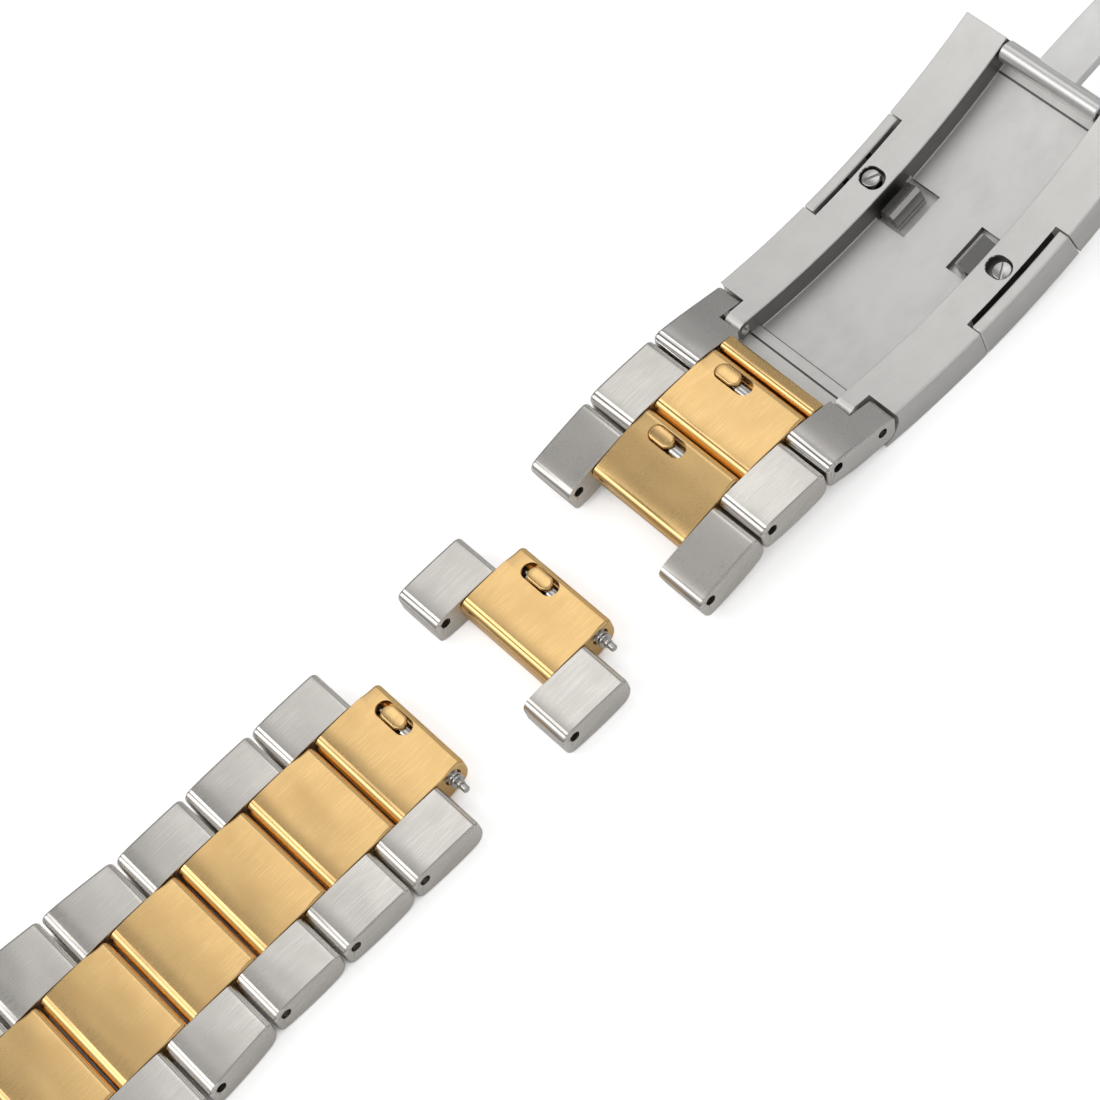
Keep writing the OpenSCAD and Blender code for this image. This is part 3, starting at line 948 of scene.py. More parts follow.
def coil_tree() -> GeometryTree:
    """Returns the tree of a coil spring along y."""
    tree = GeometryTree("coil spring", {
        "Geometry": Tree.GEOMETRY, "Turns": Tree.FLOAT, "Radius": Tree.FLOAT,
        "Length": Tree.FLOAT, "Wire": Tree.FLOAT, "Along": Tree.FLOAT, "Start": Tree.FLOAT,
        "Height": Tree.FLOAT, "Finish": Tree.MATERIAL,
    })
    g = tree.graph
    spiral = g.node("GeometryNodeCurveSpiral", None, {
        "Resolution": 20, "Rotations": tree.given("Turns"), "Start Radius": tree.given("Radius"),
        "End Radius": tree.given("Radius"), "Height": tree.given("Length"),
    })
    section = g.node(
        "GeometryNodeCurvePrimitiveCircle", None, {"Resolution": 8, "Radius": tree.given("Wire")}
    )
    wire = g.node(
        "GeometryNodeCurveToMesh", None,
        {"Curve": spiral, "Profile Curve": section, "Fill Caps": True},
    )
    spot = g.node("ShaderNodeCombineXYZ", None, {
        0: tree.given("Along"), 1: tree.given("Start"), 2: tree.given("Height"),
    })
    laid = g.node("GeometryNodeTransform", None, {
        "Geometry": wire, "Translation": spot, "Rotation": (-math.pi / 2, 0.0, 0.0),
    })
    tree.close(laid)
    return tree


def pair_tree() -> GeometryTree:
    """Returns the tree that adds the mirror image of a left piece."""
    tree = GeometryTree("pair", {"Geometry": Tree.GEOMETRY, "Finish": Tree.MATERIAL})
    g = tree.graph
    other = g.node("GeometryNodeTransform", None, {
        "Geometry": tree.given("Geometry"), "Scale": (1.0, -1.0, 1.0),
    })
    right = g.node("GeometryNodeFlipFaces", None, {"Mesh": other})
    both = g.tree.nodes.new("GeometryNodeJoinGeometry")
    for part in (tree.given("Geometry"), right):
        g.tree.links.new(part.socket, both.inputs[0])
    tree.close(Wire(g, both.outputs[0]))
    return tree


# Links


@dataclass(frozen=True)
class LinkSizes:
    """Sizes shared by all links, as in the part's source."""

    half_c: float = 5.2
    side_y: float = 5.25
    half_w: float = 10.0
    pitch: float = 7.1
    top: float = 0.9
    bottom: float = 1.85
    side_back: float = 1.1
    side_end: float = 5.78
    centre_back: float = 1.62
    nose: float = 1.4
    nose_r: float = 1.15
    far_r: float = 0.5
    ridge: float = 0.75
    arch: float = 27.0
    crown: float = 80.0
    roll: float = 1.2
    roll_r: float = 14.0
    hole: float = 0.45
    bore: float = 0.75
    slot_x: float = 0.2
    slot_y: float = 1.75
    slot_l: float = 3.8
    slot_w: float = 1.5
    lean: float = 0.035
    pin_gap: float = 0.015
    side_far: Flat = (0.55, 1.2)
    side_low: float = 0.55
    side_rims: Flat = (0.06, 0.3)
    centre_low: float = 0.5
    centre_rims: Flat = (0.07, 0.32)
    nose_out: Flat = (0.3, 1.6)
    flare: tuple[float, ...] = (0, 0, 0, 0.7, 1.4, 2.0)
    crest_steps: int = 24
    sole_steps: int = 8

    def sole(self, x: float, a: float, b: float) -> float:
        """Returns the height of the curved outer face."""
        return -self.bottom + self.arch - math.sqrt(self.arch ** 2 - (x - (a + b) / 2) ** 2)

    def crest(self, x: float, a: float, b: float) -> float:
        """Returns the height of the top face, slightly crowned and rolled toward its ridge."""
        lead = max(0.0, a + self.ridge + self.roll - x)
        return self.top - (x - (a + b) / 2) ** 2 / (2 * self.crown) - lead ** 2 / (2 * self.roll_r)

    def outline(self, a: float, b: float, top_near: float, top_far: float, bottom_near: float,
                bottom_far: float) -> list[Flat]:
        """Returns the side view of a link piece from x = a to x = b, with its corner radii.

        Args:
            a: Where the piece starts.
            b: Where it ends.
            top_near: Radius of its ridge.
            top_far: Radius of the far corner at the top.
            bottom_near: Radius of the near corner at the sole.
            bottom_far: Radius of the far corner at the sole.

        Returns:
            The outline's points.
        """
        corners = [
            Corner(a, self.sole(a, a, b), bottom_near), Corner(a, self.crest(a, a, b), top_near),
        ]
        first, last = a + top_near + 0.1, b - top_far - 0.1
        for i in range(self.crest_steps + 1):
            x = first + (last - first) * i / self.crest_steps
            corners.append(Corner(x, self.crest(x, a, b)))
        corners += [
            Corner(b, self.crest(b, a, b), top_far), Corner(b, self.sole(b, a, b), bottom_far),
        ]
        start, end = b - bottom_far, a + bottom_near
        for i in range(1, self.sole_steps):
            x = start + (end - start) * i / self.sole_steps
            corners.append(Corner(x, self.sole(x, a, b)))
        return rounded(corners)

    def centre_polish(self, near: float) -> Callable[[Vector], float]:
        """Returns the rule that polishes a piece's ridge and all that lies below its top.

        Args:
            near: The x of the piece's near face.

        Returns:
            The rule.
        """
        def rule(p: Vector) -> float:
            if p.x < near + self.ridge - 0.06 and p.z > self.top - self.ridge:
                return 1.0
            return 0.6 if p.z < self.top - 0.25 and p.x > near + self.ridge else 0.0
        return rule


L = LinkSizes()


def nose_edge() -> Callable[[float, float], float]:
    """Returns an edge radius that grows towards the free end of a centre piece."""
    def rule(x: float, z: float) -> float:
        plain, cut = L.centre_rims
        t = max(0.0, min(1.0, (x - L.side_end - L.nose_out[0]) / L.nose_out[1]))
        return plain + (cut - plain) * t * t * (3 - 2 * t)
    return rule


def leaning(form: Form, out: Flat) -> Form:
    """Lets a left side piece stand out at its outer face, and its top lean down towards it.

    Args:
        form: The piece, straight and level.
        out: How far it stands out at its lower and at its upper hinge axis.

    Returns:
        The form.
    """
    for p in form.points:
        if p.z > 0:
            p.z -= L.lean * (p.y - L.side_y) * p.z / L.top
        if p.y > (L.side_y + L.half_w) / 2:
            p.y += out[0] + (out[1] - out[0]) * p.x / L.pitch
    return form


class LinkParts:
    """Meshes that the links share, each made once, in millimetres."""

    def __init__(self) -> None:
        """Makes the shared meshes and trees."""
        self.pair = pair_tree()
        self.coil = coil_tree()
        self.side = self.side_piece((0, 0))
        self.plain = self.centre_piece(False)
        self.quick = self.centre_piece(True)

    @staticmethod
    def side_piece(out: Flat) -> bpy.types.Mesh:
        """Returns a left steel side piece.

        Args:
            out: How far it stands out at its lower and at its upper hinge axis.

        Returns:
            The mesh.
        """
        line = L.outline(
            -L.side_back, L.side_end, L.ridge, L.side_far[0], L.side_low, L.side_far[1]
        )
        blank = leaning(slab(line, L.side_y, L.half_w, L.side_rims), out).mesh("side")
        hole = bevelled_hole(0, 0, L.hole, L.half_w + out[0], 8)
        inner = bevelled_hole(0, 0, L.hole, -L.side_y, 1).moved(FLIP)
        mesh = carved(blank, [(Cut.TAKE, hole), (Cut.TAKE, inner)])
        return polished(mesh, L.centre_polish(-L.side_back))

    @staticmethod
    def centre_piece(quick: bool) -> bpy.types.Mesh:
        """Returns a gold centre piece, with a slot and a bore if it is a quick-release one.

        Args:
            quick: Whether it is a quick-release one.

        Returns:
            The mesh.
        """
        line = L.outline(
            L.centre_back, L.pitch + L.nose, L.ridge, L.far_r, L.centre_low, L.nose_r
        )
        blank = slab(line, -L.half_c, L.half_c, (nose_edge(), nose_edge())).mesh("centre")
        tools = [(Cut.TAKE, through(L.pitch, 0, L.bore if quick else L.hole - L.pin_gap))]
        if quick:
            tools.append((Cut.TAKE, slot_cutter(L.pitch, 0)))
        return polished(carved(blank, tools), L.centre_polish(L.centre_back))


def slot_cutter(x: float, axis_z: float) -> Form:
    """Returns the cutter of the lever's slot, with a bevel along its rim."""
    oval, top = stadium(x + L.slot_x, L.slot_y, L.slot_l, L.slot_w), L.top
    return column(oval, [(axis_z, 0), (top - 0.08, 0), (top + 0.02, -0.07), (top + 0.4, -0.4)])


class SubAssembly(Protocol):
    """What the main function builds: a set of pieces that belong together."""

    def dress(self, parts: LinkParts) -> list[bpy.types.Object]:
        """Builds the meshes and returns them as finished pieces."""


@dataclass(frozen=True)
class SpringBar:
    """A quick-release spring bar: barrel with a fixed tip, and a sliding tip with its lever."""

    x: float
    z: float
    half: float
    shift: float
    out: Flat
    barrel: float = 0.7
    tip: float = 0.4
    pin: float = 0.3
    flange: float = 0.62
    thick: float = 0.16
    flange_in: Flat = (0.22, 0.02)
    bore: float = 0.52
    neck: float = 0.25
    root: float = 0.27
    wall: Flat = (0.8, 1.2)
    rod_gap: float = 0.025
    rod_head: float = 0.4
    wire: float = 0.055
    turns: float = 9.0
    barrel_far: float = 1.2
    piston: float = -0.9
    stem: Flat = (2.5, 3.6)
    stem_r: float = 0.68
    knob_y: float = 2.35
    knob_l: float = 2.5
    knob_w: float = 1.34
    knob_z: Flat = (0.74, 1.1)
    knob_round: float = 0.18
    knob_crown: float = 0.035

    @property
    def spring_at(self) -> Flat:
        """Returns where the spring starts and ends on y."""
        return -self.half + self.wall[1] - self.shift, self.piston - self.shift

    def bar(self) -> bpy.types.Mesh:
        """Returns the barrel and the fixed tip."""
        far, neck = -self.half - self.out[1], -self.half + 0.18
        near, back = neck - 0.05, neck + self.thick - 0.05
        start, inner = (-self.half + w for w in self.wall)
        profile = [
            (far, 0.0), (far, self.pin - 0.12), (far + 0.04, self.pin - 0.05),
            (far + 0.11, self.pin), (far + 0.5, self.pin), (far + 0.55, self.pin - 0.07),
            (far + 0.63, self.pin - 0.07), (far + 0.67, self.pin + 0.07),
            (far + 0.86, self.pin + 0.07), (far + 0.9, self.neck), (near - self.thick, self.neck),
            *collar(near - self.thick, near, self.flange, 0.04), (near, self.root),
            (back, self.root), *collar(back, back + self.thick, self.flange, 0.04),
            (back + self.thick, self.root), (start, self.root),
            (start, self.barrel - 0.08), (start + 0.08, self.barrel),
            (self.barrel_far - 0.05, self.barrel), (self.barrel_far, self.barrel - 0.05),
            (self.barrel_far, self.bore), (inner, self.bore), (inner, 0.0),
        ]
        return self.shifted(turned(profile, self.x, self.z)).mesh("bar")

    def tip_rod(self) -> bpy.types.Mesh:
        """Returns the sliding tip and the rod behind it."""
        end, head = self.half + self.out[0], self.piston + self.rod_head
        f0, f1 = (self.half - f for f in self.flange_in)
        profile = [
            (self.piston, 0.0), (self.piston, self.bore - self.rod_gap),
            (head, self.bore - self.rod_gap), (head, self.tip),
            (self.stem[0], self.tip), *collar(*self.stem, self.stem_r, 0.04),
            (self.stem[1], self.tip), (f0, self.tip), *collar(f0, f1, self.flange, 0.03),
            (f1, self.tip), (end - 0.14, self.tip), (end - 0.05, self.tip - 0.07),
            (end, self.tip - 0.16), (end, 0.0),
        ]
        return self.shifted(turned(profile, self.x, self.z)).mesh("rod")

    def knob(self) -> bpy.types.Mesh:
        """Returns the lever: its foot on the stem and its crowned oval knob."""
        low, high = self.knob_z
        x, bend = self.x + L.slot_x, high - self.knob_round - 0.033
        levels = [(low, 0.10), (low + 0.03, 0.03), (low + 0.06, 0.0), (bend, 0.0)]
        for k in range(1, 9):
            turn = math.radians(10.25 * k)
            levels.append((
                bend + self.knob_round * math.sin(turn), self.knob_round * (1 - math.cos(turn)),
            ))
        for t in (0.2, 0.4, 0.6, 0.8, 1.0):
            levels.append((high - self.knob_crown * (1 - t) ** 2, 0.155 + 0.46 * t))
        top = column(stadium(x, self.knob_y, self.knob_l, self.knob_w), levels)
        start, end = self.stem
        foot = column(
            stadium(x, (start + end) / 2, end - start - 0.1, 0.9), [(self.z, 0), (low + 0.02, 0)]
        )
        return polished(self.shifted(top.plus(foot)).mesh("knob"), lambda p: 0.5)

    def shifted(self, form: Form) -> Form:
        """Moves a form along the bar by the bar's shift."""
        return form.moved(Matrix.Translation((0, -self.shift, 0)))

    def spring(self, tree: GeometryTree, name: str) -> bpy.types.Mesh:
        """Returns the spring inside the barrel.

        Args:
            tree: The coil's tree.
            name: Name of the mesh.

        Returns:
            The mesh.
        """
        start, end = self.spring_at
        return tree.applied(name, bpy.data.meshes.new(name), {
            "Turns": self.turns, "Radius": self.bore - 0.03 - self.wire, "Wire": self.wire,
            "Length": end - start - 2 * self.wire, "Along": self.x,
            "Start": start + self.wire, "Height": self.z,
            "Finish": FINISHES.get(Finishes.SPRING),
        })

    def dress(self, parts: LinkParts, name: str, place: Place, body: str, lever: str,
              nodes: tuple[str, str, str], joint: str) -> list[bpy.types.Object]:
        """Makes the bar, its lever and its spring.

        Args:
            parts: The shared meshes and trees.
            name: Start of the pieces' names.
            place: The link's place.
            body: Body of the bar.
            lever: Body of the lever.
            nodes: CAD nodes of the bar, the lever and the spring.
            joint: The lever's joint.

        Returns:
            The pieces.
        """
        bright, gold = [Finishes.BRIGHT], [Finishes.GOLD]
        out = [
            placed(f"{name}_bar_turned", self.bar(), place, bright, Metal.BRIGHT, body, nodes[:1]),
            placed(f"{name}_lever_rod", self.tip_rod(), place, bright, Metal.BRIGHT, lever),
            placed(f"{name}_lever_knob", self.knob(), place, gold, Metal.GOLD, lever, nodes[1:2]),
            placed(f"{name}_coil", self.spring(parts.coil, name), place, [Finishes.SPRING],
                   Metal.SPRING, body, nodes[2:]),
        ]
        start, end = self.spring_at
        x, z = place.at(self.x, self.z)
        squashed(out[-1], joint, 1, (x, start, z), end - start)
        return out


@dataclass(frozen=True)
class Link:
    """One link: centre piece, two side pieces and, on a quick-release link, its spring bar."""

    name: str
    place: Place
    quick: bool = False
    shift: float = 0.0
    out: Flat = (0, 0)
    tips: Flat = (0.7, 1.1)

    def sides(self, parts: LinkParts) -> bpy.types.Mesh:
        """Returns both side pieces."""
        left = parts.side_piece(self.out) if self.out[0] else parts.side.copy()
        return parts.pair.applied(
            f"{self.name}_pair", left, {"Finish": FINISHES.get(Finishes.STEEL)}
        )

    def dress(self, parts: LinkParts) -> list[bpy.types.Object]:
        """Makes the link's pieces from the shared meshes.

        Args:
            parts: The shared meshes and trees.

        Returns:
            The pieces.
        """
        name = self.name
        centre = parts.quick if self.quick else parts.plain
        out = [
            placed(f"{name}_centre_gold", centre, self.place, [Finishes.GOLD], Metal.GOLD, name,
                   [f"{name}_centre"]),
            placed(f"{name}_sides_steel", self.sides(parts), self.place, [Finishes.STEEL],
                   Metal.STEEL, name, [f"{name}_sides"]),
        ]
        if self.quick:
            out += SpringBar(L.pitch, 0, L.half_c, self.shift, self.tips).dress(
                parts, name, self.place, name, f"{name}_lever",
                (f"{name}_bar", f"{name}_lever", f"{name}_spring"), f"{name}_lever_slide",
            )
        return out


@dataclass(frozen=True)
class LugLink:
    """The link at the watch, with a spring bar as wide as the bracelet."""

    place: Place
    back: float = 0.65
    bar_x: float = 1.1
    bar_z: float = -0.3
    half: float = 12.0
    near: Flat = (1.0, 1.2)
    tips: Flat = (0.9, 0.9)

    def outline(self, b: float, top_far: float, bottom_far: float) -> list[Flat]:
        """Returns the side view of the link's pieces."""
        return L.outline(-self.back, b, self.near[0], top_far, self.near[1], bottom_far)

    def centre(self) -> bpy.types.Mesh:
        """Returns the gold centre piece, with both bores and the lever's slot."""
        line = self.outline(L.pitch + L.nose, L.far_r, L.nose_r)
        blank = slab(line, -L.half_c, L.half_c, (nose_edge(), nose_edge())).mesh("centre")
        return polished(carved(blank, [
            (Cut.TAKE, through(L.pitch, 0, L.hole - L.pin_gap)),
            (Cut.TAKE, through(self.bar_x, self.bar_z, L.bore)),
            (Cut.TAKE, slot_cutter(self.bar_x, self.bar_z)),
        ]), L.centre_polish(-self.back))

    def sides(self, parts: LinkParts) -> bpy.types.Mesh:
        """Returns both side pieces."""
        form = slab(self.outline(L.side_end, *L.side_far), L.side_y, self.half, L.side_rims)
        side = carved(leaning(form, (0, 0)).mesh("side"), [
            (Cut.TAKE, bevelled_hole(self.bar_x, self.bar_z, L.bore, self.half, 8)),
        ])
        polished(side, L.centre_polish(-self.back))
        return parts.pair.applied("lug_pair", side, {"Finish": FINISHES.get(Finishes.STEEL)})

    def dress(self, parts: LinkParts) -> list[bpy.types.Object]:
        """Makes the pieces of the link.

        Args:
            parts: The shared meshes and trees.

        Returns:
            The pieces.
        """
        name = "lug_link"
        return [
            placed(f"{name}_centre_gold", self.centre(), self.place, [Finishes.GOLD], Metal.GOLD,
                   name, [f"{name}_centre"]),
            placed(f"{name}_sides_steel", self.sides(parts), self.place, [Finishes.STEEL],
                   Metal.STEEL, name, [f"{name}_sides"]),
            *SpringBar(self.bar_x, self.bar_z, self.half, 0, self.tips).dress(
                parts, "lug", self.place, name, "lug_lever",
                ("lug_bar", "lug_bar_lever", "lug_bar_spring"), "lug_lever_slide",
            ),
        ]


@dataclass(frozen=True)
class EndLink:
    """The link that joins the bracelet to the clasp: two ears and a gold strip."""

    place: Place
    hole: float = 4.68
    ear_out: float = 1.45
    notch: float = 3.68
    ear_y: float = 7.4
    strip_x: Flat = (1.6, 3.1)
    strip_r: Flat = (0.3, 0.6)
    strip_rim: float = 0.12

    def ears(self, parts: LinkParts) -> bpy.types.Mesh:
        """Returns both ears.

        Args:
            parts: The shared meshes and trees.

        Returns:
            The mesh.
        """
        far = self.hole + self.ear_out
        corners = [
            Corner(-L.side_back, -L.bottom + 0.2, L.side_low),
            Corner(-L.side_back, L.top - 0.1, L.ridge),
            *(Corner(x / 10, L.crest(x / 10, -L.side_back, far)) for x in range(-2, 30, 2)),
            Corner(far, L.top - 0.07, 0.4), Corner(far, -self.ear_out, 1.0),
            Corner(self.hole / 2 - 0.5, -L.bottom),
        ]
        form = slab(rounded(corners), L.side_y, L.half_w, L.side_rims)
        ear = carved(leaning(form, (0, 0)).mesh("ear"), [
            (Cut.TAKE, block((self.notch, L.side_y - 0.2, -3), (7.2, self.ear_y, 2))),
            (Cut.TAKE, bevelled_hole(0, 0, L.hole, L.half_w, 6)),
            (Cut.TAKE, bevelled_hole(self.hole, 0, L.hole - L.pin_gap, L.half_w, 4)),
        ])
        polished(ear, L.centre_polish(-L.side_back))
        return parts.pair.applied("ears", ear, {"Finish": FINISHES.get(Finishes.EAR)})

    def strip(self) -> bpy.types.Mesh:
        """Returns the gold strip, polished below its top."""
        (a, b), (small, large), top = self.strip_x, self.strip_r, L.top + 0.1
        line = rounded([
            Corner(a, -L.bottom, small), Corner(a, top, large),
            Corner(b, top, small), Corner(b, -L.bottom, small),
        ])
        strip = slab(line, -L.half_c, L.half_c, (self.strip_rim, self.strip_rim)).mesh("strip")
        return polished(strip, lambda p: 0.7 if p.z < top - 0.01 else 0.2)

    def dress(self, parts: LinkParts) -> list[bpy.types.Object]:
        """Makes the ears and the strip.

        Args:
            parts: The shared meshes and trees.

        Returns:
            The pieces.
        """
        return [
            placed("end_link_ears", self.ears(parts), self.place, [Finishes.EAR], Metal.STEEL,
                   "end_link", ["end_link_sides"]),
            placed("end_link_gold_strip", self.strip(), self.place, [Finishes.GOLD], Metal.GOLD,
                   "end_link", ["end_link_strip"]),
        ]


# Clasp


@dataclass(frozen=True)
class ClaspSizes:
    """Sizes of the clasp, about the axis of its curve, as in the part's source."""

    rail_r: float = 62.0
    clasp_r: float = 65.1
    floor_r: float = 64.0
    lip_r: float = 63.7
    arc_x: float = 41.1
    arc_z: float = 65.1
    half_w: float = 9.92
    half_c: float = 5.44
    hinge_at: float = -7.1
    hinge_r: float = 62.947
    rail_far_at: float = 21.773
    tube_at: float = 21.0
    tube_r: float = 62.73
    tube_out: float = 0.95
    foot: Flat = (5.44, 7.1)
    foot_r: float = 0.85
    ear_r: float = 1.75
    button_at: float = 7.7
    button_span: float = 9.4
    button_in: float = 8.92
    pocket_y: float = 8.47
    spring_y: float = 6.77
    window_at: Flat = (5.92, 9.806)
    window_y: float = 2.35
    window_deep: float = 0.6
    lip_at: Flat = (-7.94, -5.858)
    screw_y: float = 7.3
    screw_r: float = 0.8
    blade_mid: float = 62.95
    blade_t: float = 0.85
    blade_half: float = 2.0
    blade_pin: float = 0.38
    pin_gap: float = 0.01
    blade_close: float = 190.4
    far_at: float = -5.0
    outer_y: Flat = (2.3, 5.1)
    outer_end_at: float = 17.9
    outer_end_r: float = 61.575
    knuckle: float = 0.8

    def at(self, r: float, angle: float) -> Flat:
        """Returns the x and z of a point at a radius and an angle of the clasp's curve."""
        a = math.radians(angle)
        return self.arc_x + r * math.sin(a), self.arc_z - r * math.cos(a)

    def turned_frame(self, angle: float) -> Matrix:
        """Returns the frame of the curve's axis, turned to an angle."""
        return (
            Matrix.Translation((self.arc_x, 0, self.arc_z))
            @ Matrix.Rotation(-math.radians(angle), 4, "Y")
        )

    def opened(self) -> Matrix:
        """Returns the matrix that carries a piece drawn closed to its open place."""
        x, z = self.at(self.tube_r, self.tube_at)
        return (
            Matrix.Translation((x, 0, z))
            @ Matrix.Rotation(math.radians(self.blade_close), 4, "Y")
            @ Matrix.Translation((-x, 0, -z))
        )


C = ClaspSizes()


def swept(section: Sequence[Flat], span: Flat, step: float = 0.5, edge: float = 0.0) -> Form:
    """Sweeps a section of radius and y round the clasp's curve.

    Args:
        section: The closed section.
        span: The angles at which it starts and ends.
        step: Angle between rings.
        edge: Radius of the rounded edges at both ends.

    Returns:
        The form.
    """
    degree = math.radians(1) * C.rail_r
    stops = [(span[0], 0.0)]
    if edge:
        stops = [
            (span[0] + edge * (1 - math.cos(math.pi / 10 * k)) / degree,
             edge * (1 - math.sin(math.pi / 10 * k)))
            for k in range(6)
        ]
    tail = [(span[0] + span[1] - a, d) for a, d in reversed(stops)]
    count = max(2, int((span[1] - span[0]) / step))
    first, last = stops[-1][0], tail[0][0]
    middle = [(first + (last - first) * k / count, 0.0) for k in range(1, count)]
    rings = []
    for angle, pull in stops + middle + tail:
        ring = inset(section, [pull] * len(section))
        rings.append([Vector((*C.at(r, angle), y)).xzy for r, y in ring])
    return Form().loft(rings)


def oblong(r: Flat, y: Flat, radius: float = 0.0) -> list[Flat]:
    """Returns a section of radius and y with rounded corners."""
    return rounded([
        Corner(r[0], y[0], radius), Corner(r[1], y[0], radius),
        Corner(r[1], y[1], radius), Corner(r[0], y[1], radius),
    ], 4)


@dataclass(frozen=True)
class ClaspCover:
    """The milled cover: two rails, the channel between them, feet, windows and pockets."""

    rim: float = 0.16
    rail_rim: float = 0.1
    floor_rim: float = 0.08
    end_rim: float = 0.07
    scribed_at: float = -6.85
    ledge_at: float = 19.5
    groove: Flat = (0.17, 0.1)
    pocket_gap: float = 0.1
    passage: Triple = (1.65, 64.0, 64.55)
    recess_l: Flat = (0.7, 0.2)
    recess_deep: float = 1.3
    screw_back: float = 0.25
    screw_reach: float = 1.7
    foot_steps: int = 24
    base: float = 0.2
    past_hinge: float = 1.9
    pin_reach: Flat = (7.4, 7.2)

    def section(self) -> list[Flat]:
        """Returns the channel's section of radius and y."""
        w, c, e, inner, low = C.half_w, C.half_c, self.rim, self.rail_rim, self.floor_rim
        return rounded([
            Corner(C.rail_r, -c, inner), Corner(C.rail_r, -w, e), Corner(C.clasp_r, -w, e),
            Corner(C.clasp_r, w, e), Corner(C.rail_r, w, e), Corner(C.rail_r, c, inner),
            Corner(C.floor_r, c, low), Corner(C.floor_r, -c, low),
        ], 4)

    def foot_tool(self) -> list[Form]:
        """Returns the cutters round the left foot."""
        hx, hz = C.at(C.hinge_r, C.hinge_at)
        back, high, below, out = hx - 4, hz + 5, -1, C.half_w + 1
        ring = []
        for k in range(self.foot_steps + 1):
            turn = math.pi / 2 + math.pi * k / self.foot_steps
            ring.append((hx + C.foot_r * math.cos(turn), hz + C.foot_r * math.sin(turn)))
        around = [(hx, high)] + ring + [(hx, below), (back, below), (back, high)]
        low = slab(around, C.foot[0] - 0.1, out)
        near = slab([(back, below), (back, high), (hx, high), (hx, below)], C.foot[1], out + 0.2)
        recess = turned([(C.foot[1], C.ear_r), (out + 0.1, C.ear_r)], hx, hz, count=2 * ROUND)
        return [low, near, recess]

    def pocket_tools(self) -> list[Form]:
        """Returns the cutters of the left button's pocket, slider passage and screw recess."""
        half = C.button_span / 2 + self.pocket_gap
        pocket = swept(
            oblong((C.rail_r - 1, C.clasp_r + 1), (C.pocket_y, C.half_w + 1)),
            (C.button_at - half, C.button_at + half),
        )
        turn = C.turned_frame(C.button_at)
        wide, high, low = self.passage
        passage = block((-wide, 2.9, -low), (wide, C.pocket_y + SLACK, -high)).moved(turn)
        middle, size = C.screw_y - self.screw_back, 2 * C.screw_r
        oval = stadium(0, middle, size + self.recess_l[0], size + self.recess_l[1])
        recess = column(oval, [
            (-C.rail_r - 0.7, 0), (-C.rail_r - 0.07, 0), (-C.rail_r + 0.03, -0.08),
            (-C.rail_r + self.recess_deep, -0.08),
        ]).moved(turn)
        shaft = column(stadium(0, middle, 1.5, 1.0), [(-64.07, 0), (-62, 0)]).moved(turn)
        return [pocket, passage, recess, shaft]

    def window_tool(self) -> Form:
        """Returns the cutter of the left window."""
        return swept(
            oblong((C.floor_r - 0.5, C.floor_r + C.window_deep), (C.window_y, C.half_c + 0.02)),
            C.window_at,
        )

    def mesh(self) -> bpy.types.Mesh:
        """Returns the cover, with a material number on each face."""
        span = (C.hinge_at - self.past_hinge, C.rail_far_at)
        blank = swept(self.section(), span, edge=self.end_rim).mesh("cover")
        foot = C.foot[0]
        lip = swept(
            oblong((C.lip_r, C.floor_r + 0.4), (-foot - 0.1, foot + 0.1)),
            (C.lip_at[0] - 0.3, C.lip_at[1]),
        )
        trim = swept(
            oblong((C.floor_r - 1, C.clasp_r + 1), (-foot + 0.04, foot - 0.04)),
            (C.hinge_at - 3, C.lip_at[0]),
        )
        tools = [(Cut.ADD, lip), (Cut.TAKE, trim)]
        wide, deep = self.groove
        for r, start in (
            (C.lip_r, self.scribed_at), (C.floor_r, C.lip_at[1]), (C.floor_r, self.ledge_at),
        ):
            groove = oblong((r - 0.1, r + deep), (SLACK - C.half_c, C.half_c - SLACK))
            tools.append((Cut.TAKE, swept(groove, (start, start + wide))))
        for form in [*self.foot_tool(), *self.pocket_tools(), self.window_tool()]:
            tools += [(Cut.TAKE, form), (Cut.TAKE, form.moved(FLIP))]
        hinge, tube = C.at(C.hinge_r, C.hinge_at), C.at(C.tube_r, C.tube_at)
        tools.append((Cut.TAKE, through(*hinge, L.hole, self.pin_reach[0])))
        tools.append((Cut.TAKE, through(*tube, C.blade_pin + C.pin_gap, self.pin_reach[1])))
        mesh = carved(blank, tools)
        for face in mesh.polygons:
            face.material_index = self.number(face.center, face.normal)
        return polished(mesh, lambda p: 0.0)

    def number(self, middle: Vector, out: Vector) -> int:
        """Returns a face's finish: 0 for tops, 1 for the channel, 2 for walls, windows, scored
        lines and recesses, near-black steel painted as their shade, 3 for flanks, a darker steel
        painted as their shade.

        Args:
            middle: The face's centre.
            out: The face's normal.

        Returns:
            The material number.
        """
        x, z, y = middle.x - C.arc_x, C.arc_z - middle.z, abs(middle.y)
        radius, away = math.hypot(x, z), abs(math.degrees(math.atan2(x, z)) - C.button_at)
        upward = abs(out.x * x - out.z * z) / radius
        above_base = radius < C.clasp_r - self.base
        if y < C.half_c + 0.01:
            wall = abs(out.y) > 0.9 and C.rail_r + 0.1 < radius
            window = C.floor_r + 0.03 < radius and upward < 0.7
            score = C.lip_r + SLACK < radius < C.floor_r + 0.2 and (
                upward < 0.5 or C.lip_r + 0.15 > radius or radius > C.floor_r + 0.05
            )
            # Walls, windows and scored lines take the near-black steel that paints their shade.
            if (wall or window or score) and above_base:
                return 2
            return 1 if C.lip_r - 0.05 < radius and above_base and upward > 0.5 else 0
